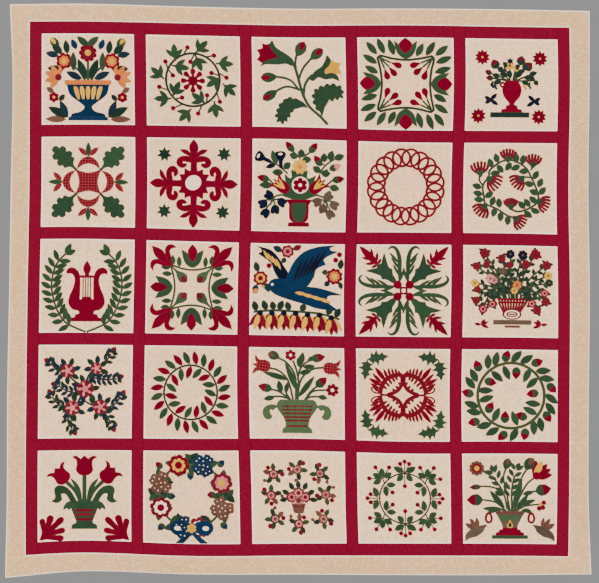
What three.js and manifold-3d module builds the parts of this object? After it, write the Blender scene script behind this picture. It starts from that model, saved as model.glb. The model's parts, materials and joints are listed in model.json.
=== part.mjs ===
// Album quilt: twenty-five appliqued blocks set square in red sashing, inside a plain cream border.
// Millimetres, +Z up. The quilt lies face up with its top edge towards +Y.
// The origin is on the surface under the quilt, at the middle of its footprint.
import * as THREE from "three";
import { mergeVertices } from "three/addons/utils/BufferGeometryUtils.js";
import Module from "manifold-3d";

const wasm = await Module();
wasm.setup();

// Driving dimensions
const BLOCKS = 5; // each way
const BLOCK = { width: 411.6, height: 402.7 };
const SASH = 54;
const BORDER = { left: 84, right: 88, top: 71, bottom: 81 };
const GAP = 0.3; // between pieces that are sewn edge to edge
const SEAM_BAND = 12; // how far a seam draws the padding down on each side
const THICK = { seam: 2.6, edge: 2.2, block: 3.7, puff: 0.4, sash: 3.6, cable: 3.9, cableDip: 2.9 };
const CABLE_STEP = 36; // about half of one link of the quilted cable in the border
const PATCH = { lift: 0.3, thickness: 1, unit: 2 }; // a pattern is drawn on a block 200 units wide
const FINEST = 0.05; // points of a patch nearer than this become one

// How far each seam strays from its straight line, in mm, at both ends and at the middle of each block.
// Columns: left end, block A, block B, block C, block D, block E, right end.
const SEAM_RISE = {
  bottomEdge: [-16, 13, -1, -2, -4, -4, -1],
  sash5: [-2, 13, -2, 0, 0, -1, -4],
  sash4: [2, 7, 4, 5, -8, -8, -12],
  sash3: [13, 14, 9, 1, -4, -7, -12],
  sash2: [21, 23, 12, 1, -2, -6, -14],
  sash1: [14, 16, 10, 4, -9, -12, -14],
  sash0: [12, 13, 4, -5, -4, -11, -15],
  topEdge: [17, 19, 6, -3, -2, -6, -13],
};
// Columns: bottom end, row 5, row 4, row 3, row 2, row 1, top end.
const SEAM_SHIFT = {
  leftEdge: [-15, -8, -6, 3, 10, 18, 6],
  sashA: [-9, -10, -7, -1, 7, 8, 9],
  sashB: [-10, -11, -7, 1, 7, 3, -1],
  sashC: [5, 0, -11, -8, 3, 3, -2],
  sashD: [9, 0, -4, -7, 4, 3, -4],
  sashE: [0, -2, -8, 0, 0, 11, 8],
  sashF: [-5, 0, 2, 4, -3, 4, 0],
  rightEdge: [9, -3, -2, 2, -4, 1, 2],
};

const PAINT = {
  cream: { color: 0xdac4b1, roughness: 0.95 },
  border: { color: 0xd2b9a2, roughness: 0.95 },
  red: { color: 0x8f1230, roughness: 0.9 },
  green: { color: 0x35583c, roughness: 0.9 },
  blue: { color: 0x1d4266, roughness: 0.9 },
  rose: { color: 0xa0333f, roughness: 0.9 },
};

// The lines of one axis: where each seam lies, where it may bend, and the middles of its blocks.
function axisOf(size, below, above) {
  const pitch = size + SASH;
  const half = (BLOCKS / 2) * pitch + SASH / 2;
  const sashes = [...Array(BLOCKS + 1).keys()].map((i) => (i - BLOCKS / 2) * pitch - SASH / 2);
  const middles = sashes.slice(0, BLOCKS).map((start) => start + SASH + size / 2);
  const low = -half - below;
  const high = half + above;
  const knots = [low, ...sashes.flatMap((start) => [start, start + SASH]), high];
  const bends = [...knots, ...sashes.map((start) => start + SASH / 2), ...middles].sort((a, b) => a - b);
  return { size, half, low, high, sashes, middles, knots, bends, ends: [low, ...middles, high] };
}

const across = axisOf(BLOCK.width, BORDER.left, BORDER.right);
const along = axisOf(BLOCK.height, BORDER.bottom, BORDER.top);

function intervalOf(values, at) {
  let i = 0;
  while (i < values.length - 2 && at > values[i + 1]) i++;
  return { i, share: (at - values[i]) / (values[i + 1] - values[i]) };
}

// A smooth curve through one row of the table.
function curveAt(stations, values, at) {
  const { i, share } = intervalOf(stations, at);
  const slope = (k) => {
    const a = Math.max(k - 1, 0);
    const b = Math.min(k + 1, values.length - 1);
    return (values[b] - values[a]) / (stations[b] - stations[a]);
  };
  const width = stations[i + 1] - stations[i];
  const s2 = share * share;
  const s3 = s2 * share;
  return (
    (2 * s3 - 3 * s2 + 1) * values[i] +
    (s3 - 2 * s2 + share) * width * slope(i) +
    (3 * s2 - 2 * s3) * values[i + 1] +
    (s3 - s2) * width * slope(i + 1)
  );
}

// The same curve with its bends only at the shared stations, so that neighbours keep one line.
function strayAt(axis, values, at) {
  const { i, share } = intervalOf(axis.bends, at);
  const from = curveAt(axis.ends, values, axis.bends[i]);
  const to = curveAt(axis.ends, values, axis.bends[i + 1]);
  return THREE.MathUtils.lerp(from, to, share);
}

function blendRows(table, knots, at, axis, station) {
  const rows = Object.values(table);
  const { i, share } = intervalOf(knots, at);
  const rowOf = (knot) => rows[Math.ceil(knot / 2)]; // both sides of a sash share one row
  const from = strayAt(axis, rowOf(i), station);
  const to = strayAt(axis, rowOf(i + 1), station);
  return THREE.MathUtils.lerp(from, to, share);
}

// Moves a point of the straight plan to where the uneven cloth has it.
function settle(x, y) {
  return [
    x + blendRows(SEAM_SHIFT, across.knots, x, along, y),
    y + blendRows(SEAM_RISE, along.knots, y, across, x),
  ];
}

// A closed sheet over a grid of the plan, with its height at each grid point and with windows left open.
function sheet(xs, ys, heightOf, windows = []) {
  const columns = xs.length;
  const rows = ys.length;
  const positions = [];
  for (const top of [true, false])
    for (let j = 0; j < rows; j++)
      for (let i = 0; i < columns; i++) positions.push(...settle(xs[i], ys[j]), top ? heightOf(i, j) : 0);
  const topAt = ([i, j]) => j * columns + i;
  const underAt = (point) => columns * rows + topAt(point);
  const isOpen = (i, j) => windows.some((w) => i >= w.i0 && i < w.i1 && j >= w.j0 && j < w.j1);
  const faces = [];
  for (let j = 0; j < rows - 1; j++)
    for (let i = 0; i < columns - 1; i++) {
      if (isOpen(i, j)) continue;
      const corners = [[i, j], [i + 1, j], [i + 1, j + 1], [i, j + 1]].map(topAt);
      faces.push(corners[0], corners[1], corners[2], corners[0], corners[2], corners[3]);
    }
  const rims = [{ i0: 0, i1: columns - 1, j0: 0, j1: rows - 1 }, ...windows].map(rimOf);
  rims.forEach((rim, order) =>
    rim.forEach((from, k) => {
      const [a, b] = order ? [rim[(k + 1) % rim.length], from] : [from, rim[(k + 1) % rim.length]];
      faces.push(topAt(a), underAt(a), underAt(b), topAt(a), underAt(b), topAt(b));
    }),
  );
  // The underside is flat, so it needs only the points of its rims.
  if (windows.length) {
    const flat = rims.map((rim) => rim.map(([i, j]) => new THREE.Vector2(...settle(xs[i], ys[j]))));
    const points = rims.flat();
    for (const [a, b, c] of THREE.ShapeUtils.triangulateShape(flat[0], flat.slice(1)))
      faces.push(underAt(points[a]), underAt(points[c]), underAt(points[b]));
  } else if (columns >= rows) {
    for (const [a, b, c] of ladder(columns, rows)) faces.push(underAt(a), underAt(b), underAt(c));
  } else {
    const turn = ([j, i]) => underAt([i, j]);
    for (const [a, b, c] of ladder(rows, columns)) faces.push(turn(a), turn(c), turn(b));
  }
  const geometry = new THREE.BufferGeometry();
  geometry.setAttribute("position", new THREE.Float32BufferAttribute(positions, 3));
  geometry.setIndex(faces);
  return geometry;
}

// Triangles from one long side of a strip of grid points to the other, seen from below.
function ladder(count, width) {
  const [end, far] = [count - 1, width - 1];
  const triangles = [[[1, 0], [0, far], [1, far]], [[end - 1, far], [end, 0], [end - 1, 0]]];
  for (let j = 0; j < far; j++) {
    triangles.push([[1, 0], [0, j], [0, j + 1]]);
    triangles.push([[end - 1, far], [end, j + 1], [end, j]]);
  }
  for (let i = 1; i < end - 1; i++) {
    triangles.push([[i, 0], [i, far], [i + 1, far]], [[i, 0], [i + 1, far], [i + 1, 0]]);
  }
  return triangles;
}

// The grid points round a rectangle of the grid, anticlockwise.
function rimOf({ i0, i1, j0, j1 }) {
  const rim = [];
  for (let i = i0; i < i1; i++) rim.push([i, j0]);
  for (let j = j0; j < j1; j++) rim.push([i1, j]);
  for (let i = i1; i > i0; i--) rim.push([i, j1]);
  for (let j = j1; j > j0; j--) rim.push([i0, j]);
  return rim;
}

// Stations of one piece between two seams, kept half a gap back from each.
function span(from, to, between) {
  return [from + GAP / 2, ...between, to - GAP / 2];
}

function blockSheet(column, row) {
  const stationsOf = (axis, index) => {
    const middle = axis.middles[index];
    const half = axis.size / 2;
    const inner = half - SEAM_BAND;
    return span(middle - half, middle + half, [middle - inner, middle, middle + inner]);
  };
  const xs = stationsOf(across, column);
  const ys = stationsOf(along, BLOCKS - 1 - row);
  const isRim = (i, count) => i === 0 || i === count - 1;
  return sheet(xs, ys, (i, j) => {
    if (isRim(i, xs.length) || isRim(j, ys.length)) return THICK.seam;
    return THICK.block + ((i + j) % 2 ? -THICK.puff : THICK.puff) / 2;
  });
}

// The red sashing with its outer frame: one lattice, with a window for each block.
function sashingSheet() {
  const stationsOf = (axis) =>
    axis.sashes.flatMap((start, k) => [
      ...span(start, start + SASH, [start + SASH / 2]),
      ...axis.middles.slice(k, k + 1),
    ]);
  const stride = 4; // stations from one sash to the next
  const windows = [];
  for (let row = 0; row < BLOCKS; row++)
    for (let column = 0; column < BLOCKS; column++) {
      const i0 = column * stride + 2;
      const j0 = row * stride + 2;
      windows.push({ i0, i1: i0 + 2, j0, j1: j0 + 2 });
    }
  const isCrown = (k) => k % stride === 1;
  return sheet(
    stationsOf(across),
    stationsOf(along),
    (i, j) => (isCrown(i) || isCrown(j) ? THICK.sash : THICK.seam),
    windows,
  );
}

// A border strip with the quilted cable raised along its middle.
function borderSheet(side) {
  const flat = side === "top" || side === "bottom";
  const [length, width] = flat ? [across, along] : [along, across];
  const corners = length.bends.filter((at) => flat || Math.abs(at) <= length.half);
  const stations = stepsBetween(corners, CABLE_STEP);
  if (!flat) {
    stations[0] += GAP / 2;
    stations[stations.length - 1] -= GAP / 2;
  }
  const low = side === "bottom" || side === "left";
  const [from, to] = low ? [width.low, -width.half - GAP / 2] : [width.half + GAP / 2, width.high];
  const widths = [from, (from + to) / 2, to];
  const heightOf = (k, step) => {
    if (k === 1) return step % 2 ? THICK.cable : THICK.cableDip;
    return (k === 0) === low ? THICK.edge : THICK.seam;
  };
  return flat
    ? sheet(stations, widths, (i, j) => heightOf(j, i))
    : sheet(widths, stations, (i, j) => heightOf(i, j));
}

function stepsBetween(corners, step) {
  const stations = [corners[0]];
  for (let k = 1; k < corners.length; k++) {
    const [from, to] = [corners[k - 1], corners[k]];
    const count = Math.max(1, Math.round((to - from) / step));
    for (let n = 1; n <= count; n++) stations.push(THREE.MathUtils.lerp(from, to, n / count));
  }
  return stations;
}

// Pattern drawing. Every function returns a list of outlines, in units from the middle of the block.
const polar = (radius, degrees) => {
  const angle = THREE.MathUtils.degToRad(degrees);
  return [radius * Math.cos(angle), radius * Math.sin(angle)];
};

function placed(points, x, y, degrees) {
  const [cos, sin] = polar(1, degrees);
  return points.map(([px, py]) => [x + px * cos - py * sin, y + px * sin + py * cos]);
}

// The outline of a shape that is alike on both sides of its length.
const twoSided = (half) => [...half, ...half.filter(([, y]) => y !== 0).reverse().map(([x, y]) => [x, -y])];

function leaf(x, y, degrees, length, width) {
  return [placed(twoSided([[0, 0], [0.45 * length, -width / 2], [length, 0]]), x, y, degrees)];
}

function disc(x, y, radius, sides = 7) {
  return [[...Array(sides).keys()].map((k) => placed([polar(radius, (k * 360) / sides)], x, y, 0)[0])];
}

function ribbon(points, width) {
  const line = points.map(([x, y]) => new THREE.Vector2(x, y));
  const sideAt = (k, side) => {
    const way = line[Math.min(k + 1, line.length - 1)].clone().sub(line[Math.max(k - 1, 0)]).normalize();
    return [line[k].x - way.y * side * (width / 2), line[k].y + way.x * side * (width / 2)];
  };
  const ends = [...line.keys()];
  return [[...ends.map((k) => sideAt(k, -1)), ...ends.reverse().map((k) => sideAt(k, 1))]];
}

// A ring, as short straight ribbons round a circle.
function ring(x, y, radius, width, sides = 14) {
  const at = (k, r) => placed([polar(r, (k * 360) / sides)], x, y, 0)[0];
  return [...Array(sides).keys()].map((k) => {
    const next = (k + 1) % sides;
    const [inner, outer] = [radius - width / 2, radius + width / 2];
    return [at(k, inner), at(k, outer), at(next, outer), at(next, inner)];
  });
}

const turned = (outlines, degrees) => outlines.map((outline) => placed(outline, 0, 0, degrees));
const flipped = (outlines) => outlines.map((outline) => outline.map(([x, y]) => [-x, y]).reverse());
const bothSides = (outlines) => [...outlines, ...flipped(outlines)];
const around = (count, make) => [...Array(count).keys()].flatMap((k) => turned(make(k), (k * 360) / count));

// A vessel from the heights and half widths of its side.
function vessel(profile) {
  return [[...profile.map(([y, half]) => [half, y]), ...profile.map(([y, half]) => [-half, y]).reverse()]];
}

function tulip(x, y, degrees, size) {
  const half = [[-0.5, 0], [-0.3, -0.4], [0.55, -0.62], [0.2, -0.2], [0.5, 0]];
  return [placed(twoSided(half.map(([a, b]) => [a * size, b * size])), x, y, degrees)];
}

const ivyLeaf = (radius, degrees, way) => [
  placed(twoSided([[-2, 0], [16, -13], [21, -4], [36, 0]]), ...polar(radius, degrees), degrees + way),
];

function lobedLeaf(x, y, degrees, length) {
  const half = [[0, -0.02], [0.45, -0.1], [0.5, -0.33], [0.72, -0.2], [0.86, -0.3], [1, 0]];
  return [placed(twoSided(half.map(([a, b]) => [a * length, b * length])), x, y, degrees)];
}

const PATTERNS = [
  [
    { name: "compote", paint: "blue", draw: compote },
    { name: "ivy_wreath", paint: "green", draw: ivyWreath },
    { name: "trumpet_spray", paint: "green", draw: trumpetSpray },
    { name: "tulip_square", paint: "green", draw: tulipSquare },
    { name: "red_urn", paint: "red", draw: redUrn },
  ],
  [
    { name: "oak_leaf_reel", paint: "green", draw: oakLeafReel },
    { name: "fleur_cross", paint: "red", draw: fleurCross },
    { name: "bellflower_pot", paint: "green", draw: bellflowerPot },
    { name: "ring_chain", paint: "red", draw: ringChain },
    { name: "thistle_wreath", paint: "green", draw: thistleWreath },
  ],
  [
    { name: "lyre", paint: "red", draw: lyre },
    { name: "lily_square", paint: "green", draw: lilySquare },
    { name: "swallow", paint: "blue", draw: swallow },
    { name: "fern_cross", paint: "green", draw: fernCross },
    { name: "basket", paint: "red", draw: basket },
  ],
  [
    { name: "rose_branch", paint: "green", draw: roseBranch },
    { name: "leaf_wreath", paint: "green", draw: leafWreath },
    { name: "handled_pot", paint: "green", draw: handledPot },
    { name: "feather_medallion", paint: "red", draw: featherMedallion },
    { name: "bud_wreath", paint: "green", draw: budWreath },
  ],
  [
    { name: "tulip_pot", paint: "green", draw: tulipPot },
    { name: "ribbon_wreath", paint: "blue", draw: ribbonWreath },
    { name: "posy", paint: "rose", draw: posy },
    { name: "cherry_wreath", paint: "green", draw: cherryWreath },
    { name: "green_urn", paint: "green", draw: greenUrn },
  ],
];

function compote() {
  const bowl = vessel([[-84, 34], [-76, 24], [-62, 6], [-50, 22], [-34, 34], [-6, 42]]);
  const stems = [...ribbon([[0, -8], [0, 44]], 4), ...bothSides(ribbon([[4, -8], [20, 22], [44, 34]], 3))];
  const blooms = [...disc(0, 52, 15), ...bothSides(disc(50, 38, 12))];
  return [...bowl, ...stems, ...blooms, ...bothSides(leaf(2, 4, 60, 34, 14))];
}

function ivyWreath() {
  const outer = around(7, () => ivyLeaf(60, 0, 20));
  const inner = around(4, () => ivyLeaf(60, 40, 150));
  return [...ring(0, 0, 60, 4), ...outer, ...inner];
}

function trumpetSpray() {
  const stem = ribbon([[62, -94], [24, -56], [4, -20], [-4, 24], [-22, 46]], 5);
  const twigs = [
    ...ribbon([[8, -24], [12, 12], [34, 24]], 4),
    ...ribbon([[-2, 2], [12, 40], [32, 56]], 3),
    ...ribbon([[-4, 24], [-2, 62]], 3),
    ...ribbon([[2, -10], [-26, 10], [-52, 12]], 3),
    ...ribbon([[6, -22], [-26, -16], [-54, -28]], 3),
  ];
  const buds = [[-2, 60, 80], [31, 54, 50], [-50, 12, 180], [-52, -27, 200]];
  const trumpets = [...tulip(-44, 54, 155, 50), ...tulip(52, 31, 28, 46)];
  const leaves = [...lobedLeaf(30, -60, 190, 66), ...lobedLeaf(46, -78, 62, 62)];
  const budLeaves = buds.flatMap(([x, y, turn]) => leaf(x, y, turn, 30, 17));
  return [...stem, ...twigs, ...budLeaves, ...trumpets, ...leaves];
}

function tulipSquare() {
  const side = () => [
    ...ribbon([[-62, 62], [0, 56], [62, 62]], 4),
    ...tulip(0, 76, 90, 40),
    ...bothSides(leaf(40, 59, 66, 38, 13)),
  ];
  return around(4, side);
}

function redUrn() {
  const body = vessel([[-58, 27], [-50, 24], [-44, 8], [-34, 8], [-16, 18], [0, 19], [8, 12], [14, 16]]);
  const stems = [...ribbon([[0, 12], [0, 52]], 3), ...bothSides(ribbon([[4, 12], [16, 34], [34, 48]], 3))];
  const leaves = bothSides([...leaf(0, 30, 60, 22, 8), ...leaf(14, 30, 0, 24, 9), ...leaf(24, 40, 80, 20, 8)]);
  return [...body, ...stems, ...leaves, ...disc(0, 56, 8), ...bothSides(disc(37, 50, 8))];
}

function oakLeafReel() {
  const reel = [[-22, 22], [0, 17], [22, 22], [17, 0], [22, -22], [0, -17], [-22, -22], [-17, 0]].reverse();
  const oak = [[0, -3], [18, -4], [24, -16], [36, -14], [46, -20], [56, -12], [66, -12], [72, 0]];
  return [reel, ...around(4, () => [placed(twoSided(oak), 17, 17, 45)])];
}

function fleurCross() {
  const arm = () => [
    placed(twoSided([[14, -20], [34, -22], [30, -6], [70, -7], [96, 0]]), 0, 0, 90),
    ...bothSides(ribbon([[2, 40], [20, 56], [30, 38]], 9)),
  ];
  return around(4, arm);
}

function bellflowerPot() {
  const pot = vessel([[-84, 22], [-76, 14], [-56, 20], [-34, 26], [-30, 26]]);
  const mound = [[[-34, -30], [34, -30], [22, -12], [18, 30], [0, 48], [-18, 30], [-22, -12]]];
  const sprays = bothSides([
    ...ribbon([[20, -14], [50, 2], [82, 14]], 3),
    ...ribbon([[14, 4], [40, 32], [60, 58]], 3),
    ...ribbon([[22, -24], [46, -30], [62, -50]], 3),
    ...leaf(58, 54, 60, 28, 13),
  ]);
  return [...pot, ...mound, ...sprays, ...bothSides([...disc(62, -52, 10, 6), ...leaf(2, 40, 60, 48, 16)])];
}

function ringChain() {
  return around(10, () => ring(65, 0, 21, 5, 6));
}

function thistleWreath() {
  const thistle = () => [[[-4, 56], [4, 56], [14, 80], [0, 72], [-14, 80]]];
  return [...ring(0, 0, 57, 4), ...around(7, () => leaf(57, 0, 30, 26, 11)), ...around(7, thistle)];
}

function lyre() {
  const foot = vessel([[-92, 34], [-84, 30], [-78, 24], [-64, 24], [-56, 34], [-40, 32]]);
  const arm = ribbon([[26, -52], [32, -30], [20, -4], [24, 22], [38, 30], [46, 24]], 13);
  const strings = [-9, 0, 9].flatMap((x) => ribbon([[x, -42], [x, 14]], 2));
  const crown = [...ribbon([[-24, 13], [24, 13]], 5), ...vessel([[13, 6], [24, 4], [32, 7], [44, 1]])];
  return [...foot, ...bothSides(arm), ...strings, ...crown];
}

function lilySquare() {
  const side = () => [...ribbon([[-46, 46], [0, 40], [46, 46]], 3), ...tulip(0, 62, 90, 44)];
  const corner = () => placed(twoSided([[-4, 0], [20, -6], [40, -20], [34, -4], [62, 0]]), 40, 40, 45);
  return around(4, () => [...side(), corner()]);
}

function swallow() {
  const back = [[-58, 6], [-44, 18], [-16, 16], [16, 2], [44, -4], [86, -22]];
  const body = [...back, [52, -20], [82, -42], [26, -24], [-20, -14]];
  const wing = [[-14, 8], [-8, 44], [22, 84], [70, 92], [44, 72], [46, 62], [28, 50], [26, 34], [14, 8]];
  const farWing = [[-22, 10], [-40, 44], [-78, 72], [-66, 52], [-60, 34], [-44, 12]];
  return [body, wing.reverse(), farWing].map((outline) => [...outline]);
}

function fernCross() {
  const arm = () => [
    ...leaf(6, 6, 45, 92, 30),
    ...leaf(8, 8, 64, 84, 16),
    ...leaf(8, 8, 26, 84, 16),
    ...leaf(52, 52, 45, 66, 20),
  ];
  return [...around(4, arm), ...disc(0, 0, 16)];
}

function basket() {
  const sides = bothSides(ribbon([[16, -54], [34, -14]], 3));
  const hoops = [[-14, 35], [-54, 17]].flatMap(([y, half]) => ribbon([[-half, y], [half, y]], 4));
  const stems = [...ribbon([[0, -55], [0, 60]], 3), ...bothSides(ribbon([[6, -14], [56, 50]], 3))];
  const blooms = [...disc(0, 64, 10), ...bothSides([...disc(58, 54, 10), ...disc(28, 16, 11)])];
  return [...sides, ...hoops, ...stems, ...blooms];
}

function roseBranch() {
  const branch = ribbon([[-50, -62], [-20, -30], [-4, 4], [10, 40], [40, 66]], 4);
  const lowTwig = ribbon([[-12, -16], [24, -34], [56, -36]], 3);
  const highTwig = ribbon([[-2, 10], [-36, 34], [-44, 62]], 3);
  const roses = [[0, 6, 20], [-30, -38, 17], [36, -36, 17], [-42, 48, 16], [26, 54, 13]];
  const leaves = [[54, -36, -20], [38, 64, 30], [-42, 56, 120], [-47, -59, 220], [10, 40, -20], [-4, -6, 200]];
  return [
    ...branch,
    ...lowTwig,
    ...highTwig,
    ...roses.flatMap(([x, y, r]) => disc(x, y, r)),
    ...leaves.flatMap(([x, y, turn]) => leaf(x, y, turn, 34, 13)),
  ];
}

function leafWreath() {
  const outer = around(12, () => leaf(58, 0, 35, 36, 14));
  const inner = around(6, () => leaf(60, 0, 145, 32, 13));
  return [...ring(0, 0, 59, 4, 12), ...outer, ...inner];
}

function handledPot() {
  const pot = vessel([[-84, 32], [-76, 28], [-50, 36], [-28, 42], [-18, 40], [-14, 32]]);
  const handle = ribbon([[32, -46], [50, -30], [64, -30], [66, -46]], 9);
  const stems = [
    ...ribbon([[-12, -16], [-36, 62]], 3),
    ...ribbon([[-18, -16], [-30, 30], [-60, 56]], 3),
    ...ribbon([[6, -16], [24, 74]], 3),
    ...ribbon([[14, -16], [30, 36], [60, 56]], 3),
  ];
  const tulips = [...tulip(-70, 60, 170, 34), ...tulip(70, 58, 10, 34)];
  const heads = [...tulips, ...disc(-38, 66, 11), ...disc(25, 76, 10)];
  const leaves = [...leaf(22, -16, 50, 62, 13), ...leaf(-20, -16, 150, 60, 12)];
  return [...pot, ...bothSides(handle), ...stems, ...heads, ...leaves];
}

function featherMedallion() {
  const corner = () => [
    [[-1, 34], [-1, 27], [27, -1], [34, -1], [48, 30], [30, 48]],
    ...[25, 65].flatMap((turn) => leaf(34, 34, turn, 40, 12)),
    ...leaf(38, 14, -20, 26, 8),
    ...leaf(14, 38, 110, 26, 8),
  ];
  return around(4, corner);
}

function budWreath() {
  return [
    ...ring(0, 0, 69, 5, 12),
    ...around(12, () => leaf(68, 0, 45, 34, 15)),
    ...around(6, () => leaf(70, 0, 155, 30, 14)),
  ];
}

function tulipPot() {
  const pot = vessel([[-76, 26], [-68, 22], [-60, 16], [-30, 26], [-24, 24]]);
  const lip = bothSides(ribbon([[20, -30], [36, -22], [44, -30]], 8));
  const stems = [...ribbon([[0, -26], [0, 48]], 6), ...bothSides(ribbon([[4, -26], [20, 10], [42, 36]], 5))];
  const leaves = bothSides(ribbon([[10, -26], [36, 10], [58, 10], [62, -14]], 8));
  return [...pot, ...lip, ...stems, ...leaves, ...tulip(0, 62, 90, 42), ...bothSides(tulip(50, 42, 50, 36))];
}

function ribbonWreath() {
  const loops = bothSides([...leaf(0, -64, -14, 38, 16), ...ribbon([[2, -60], [28, -94]], 8)]);
  const blooms = around(8, () => disc(66, 0, 16, 6));
  return [...ring(0, 0, 66, 12, 8), ...blooms, ...loops];
}

function posy() {
  const pot = vessel([[-32, 9], [-12, 14]]);
  const blooms = [[-14, 0, 11], [0, 8, 13], [14, 0, 11], [0, -8, 11]];
  const leaves = [[0, 16, 90], [-18, 4, 150], [18, 4, 30]];
  return [
    ...pot,
    ...blooms.flatMap(([x, y, r]) => disc(x, y, r)),
    ...leaves.flatMap(([x, y, turn]) => leaf(x, y, turn, 16, 8)),
  ];
}

function cherryWreath() {
  const spray = () => [
    ...leaf(53, 0, 30, 28, 12),
    ...leaf(53, 0, -30, 28, 12),
    ...leaf(55, 0, 180, 26, 11),
  ];
  return [...ring(0, 0, 54, 4, 8), ...around(8, spray)];
}

function greenUrn() {
  const urn = vessel([[-84, 36], [-78, 34], [-72, 24], [-62, 14], [-46, 22], [-26, 28], [-24, 28]]);
  const ears = bothSides(ribbon([[26, -28], [40, -22], [46, -32]], 6));
  const stems = [
    ...ribbon([[-4, -26], [-50, 60]], 3),
    ...ribbon([[2, -26], [2, 68]], 3),
    ...ribbon([[8, -26], [52, 58]], 3),
    ...ribbon([[14, -26], [58, 14]], 3),
    ...ribbon([[-12, -26], [-60, -4]], 3),
  ];
  const tulips = [...tulip(60, 68, 48, 34), ...tulip(66, 20, 30, 28), ...tulip(-68, -2, 165, 28)];
  const heads = [...tulips, ...disc(-52, 63, 11), ...leaf(2, 64, 90, 26, 14)];
  return [...urn, ...ears, ...stems, ...heads, ...leaf(-14, -10, 118, 40, 11)];
}

// Turns a closed three.js geometry into a solid for joining.
function solidFrom(geometry) {
  geometry.deleteAttribute("normal");
  geometry.deleteAttribute("uv");
  const merged = mergeVertices(geometry);
  return new wasm.Manifold(
    new wasm.Mesh({
      numProp: 3,
      vertProperties: merged.attributes.position.array,
      triVerts: new Uint32Array(merged.index.array),
    }),
  );
}

// Drops the triangles that closed up when their points became one.
function withoutSlivers(geometry) {
  const index = geometry.index.array;
  const kept = [];
  for (let t = 0; t < index.length; t += 3) {
    const corners = [...index.slice(t, t + 3)];
    if (new Set(corners).size === 3) kept.push(...corners);
  }
  return geometry.setIndex(kept);
}

// Joins a pattern's outlines into one patch of cloth, lying on its block and settled with it.
function patchSheet(pattern, column, row) {
  const top = THICK.block + THICK.puff / 2 + PATCH.lift;
  const middle = [across.middles[column], along.middles[BLOCKS - 1 - row]];
  const prisms = pattern.draw().map((outline) => {
    const shape = new THREE.Shape(outline.map(([x, y]) => new THREE.Vector2(x, y).multiplyScalar(PATCH.unit)));
    return solidFrom(new THREE.ExtrudeGeometry(shape, { depth: PATCH.thickness, bevelEnabled: false }));
  });
  const patch = prisms.reduce((whole, prism) => whole.add(prism));
  const mesh = patch.getMesh();
  const positions = [];
  for (let v = 0; v < mesh.numVert; v++) {
    const [x, y, z] = mesh.vertProperties.slice(v * mesh.numProp, v * mesh.numProp + 3);
    const place = settle(x + middle[0], y + middle[1]).map((at) => Math.round(at / FINEST) * FINEST);
    positions.push(...place, z + top);
  }
  const geometry = new THREE.BufferGeometry();
  geometry.setAttribute("position", new THREE.Float32BufferAttribute(positions, 3));
  geometry.setIndex([...mesh.triVerts]);
  return withoutSlivers(mergeVertices(geometry));
}

const quilt = new THREE.Group();

function addPiece(name, geometry, paint) {
  geometry.computeVertexNormals();
  const mesh = new THREE.Mesh(geometry, new THREE.MeshStandardMaterial({ ...PAINT[paint], metalness: 0 }));
  mesh.name = name;
  quilt.add(mesh);
}

for (const side of ["top", "bottom", "left", "right"]) addPiece(`border_${side}`, borderSheet(side), "border");
addPiece("sashing", sashingSheet(), "red");
PATTERNS.forEach((patterns, row) =>
  patterns.forEach((pattern, column) => {
    const place = `r${row + 1}c${column + 1}`;
    addPiece(`block_${place}`, blockSheet(column, row), "cream");
    addPiece(`${pattern.name}_${place}`, patchSheet(pattern, column, row), pattern.paint);
  }),
);

// The uneven outline moves the middle of the footprint a little, so the quilt is shifted back over the origin.
const footprint = new THREE.Box3().setFromObject(quilt);
const middle = footprint.getCenter(new THREE.Vector3());
quilt.children.forEach((piece) => piece.position.set(-middle.x, -middle.y, 0));

export default quilt;
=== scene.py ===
import json
import math
import random

import bpy
import numpy as np
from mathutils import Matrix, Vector
from mathutils.geometry import delaunay_2d_cdt

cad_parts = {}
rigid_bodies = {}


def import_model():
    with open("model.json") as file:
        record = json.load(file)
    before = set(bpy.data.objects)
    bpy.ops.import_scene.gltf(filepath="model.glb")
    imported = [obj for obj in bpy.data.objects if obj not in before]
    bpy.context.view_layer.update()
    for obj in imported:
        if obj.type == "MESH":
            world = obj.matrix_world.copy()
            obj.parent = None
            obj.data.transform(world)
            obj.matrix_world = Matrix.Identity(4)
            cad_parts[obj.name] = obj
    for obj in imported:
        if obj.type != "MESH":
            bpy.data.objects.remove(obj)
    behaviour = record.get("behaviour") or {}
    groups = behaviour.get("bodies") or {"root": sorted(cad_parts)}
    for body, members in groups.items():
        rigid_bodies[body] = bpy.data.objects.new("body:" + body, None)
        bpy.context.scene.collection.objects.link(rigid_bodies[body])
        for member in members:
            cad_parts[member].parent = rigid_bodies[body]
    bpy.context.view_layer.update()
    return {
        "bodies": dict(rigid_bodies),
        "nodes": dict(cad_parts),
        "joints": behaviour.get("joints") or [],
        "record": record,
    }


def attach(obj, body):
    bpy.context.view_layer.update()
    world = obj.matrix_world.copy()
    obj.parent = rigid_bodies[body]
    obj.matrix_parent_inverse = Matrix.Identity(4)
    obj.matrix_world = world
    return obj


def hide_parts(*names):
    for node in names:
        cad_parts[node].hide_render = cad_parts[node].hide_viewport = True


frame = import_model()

mm = 0.001
unit = 2 * mm  # a pattern is drawn on a block about 200 units wide
chance = random.Random(1850)

# Plan of the quilt in metres: x towards the right edge, y towards the top edge, z up out of the face.
plan = {
    "blocks": 5,
    "blockWidth": 0.4116,
    "blockHeight": 0.4027,
    "sash": 0.054,
    "left": 0.084,
    "right": 0.088,
    "top": 0.071,
    "bottom": 0.081,
    "gap": 0.0003,
}

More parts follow.
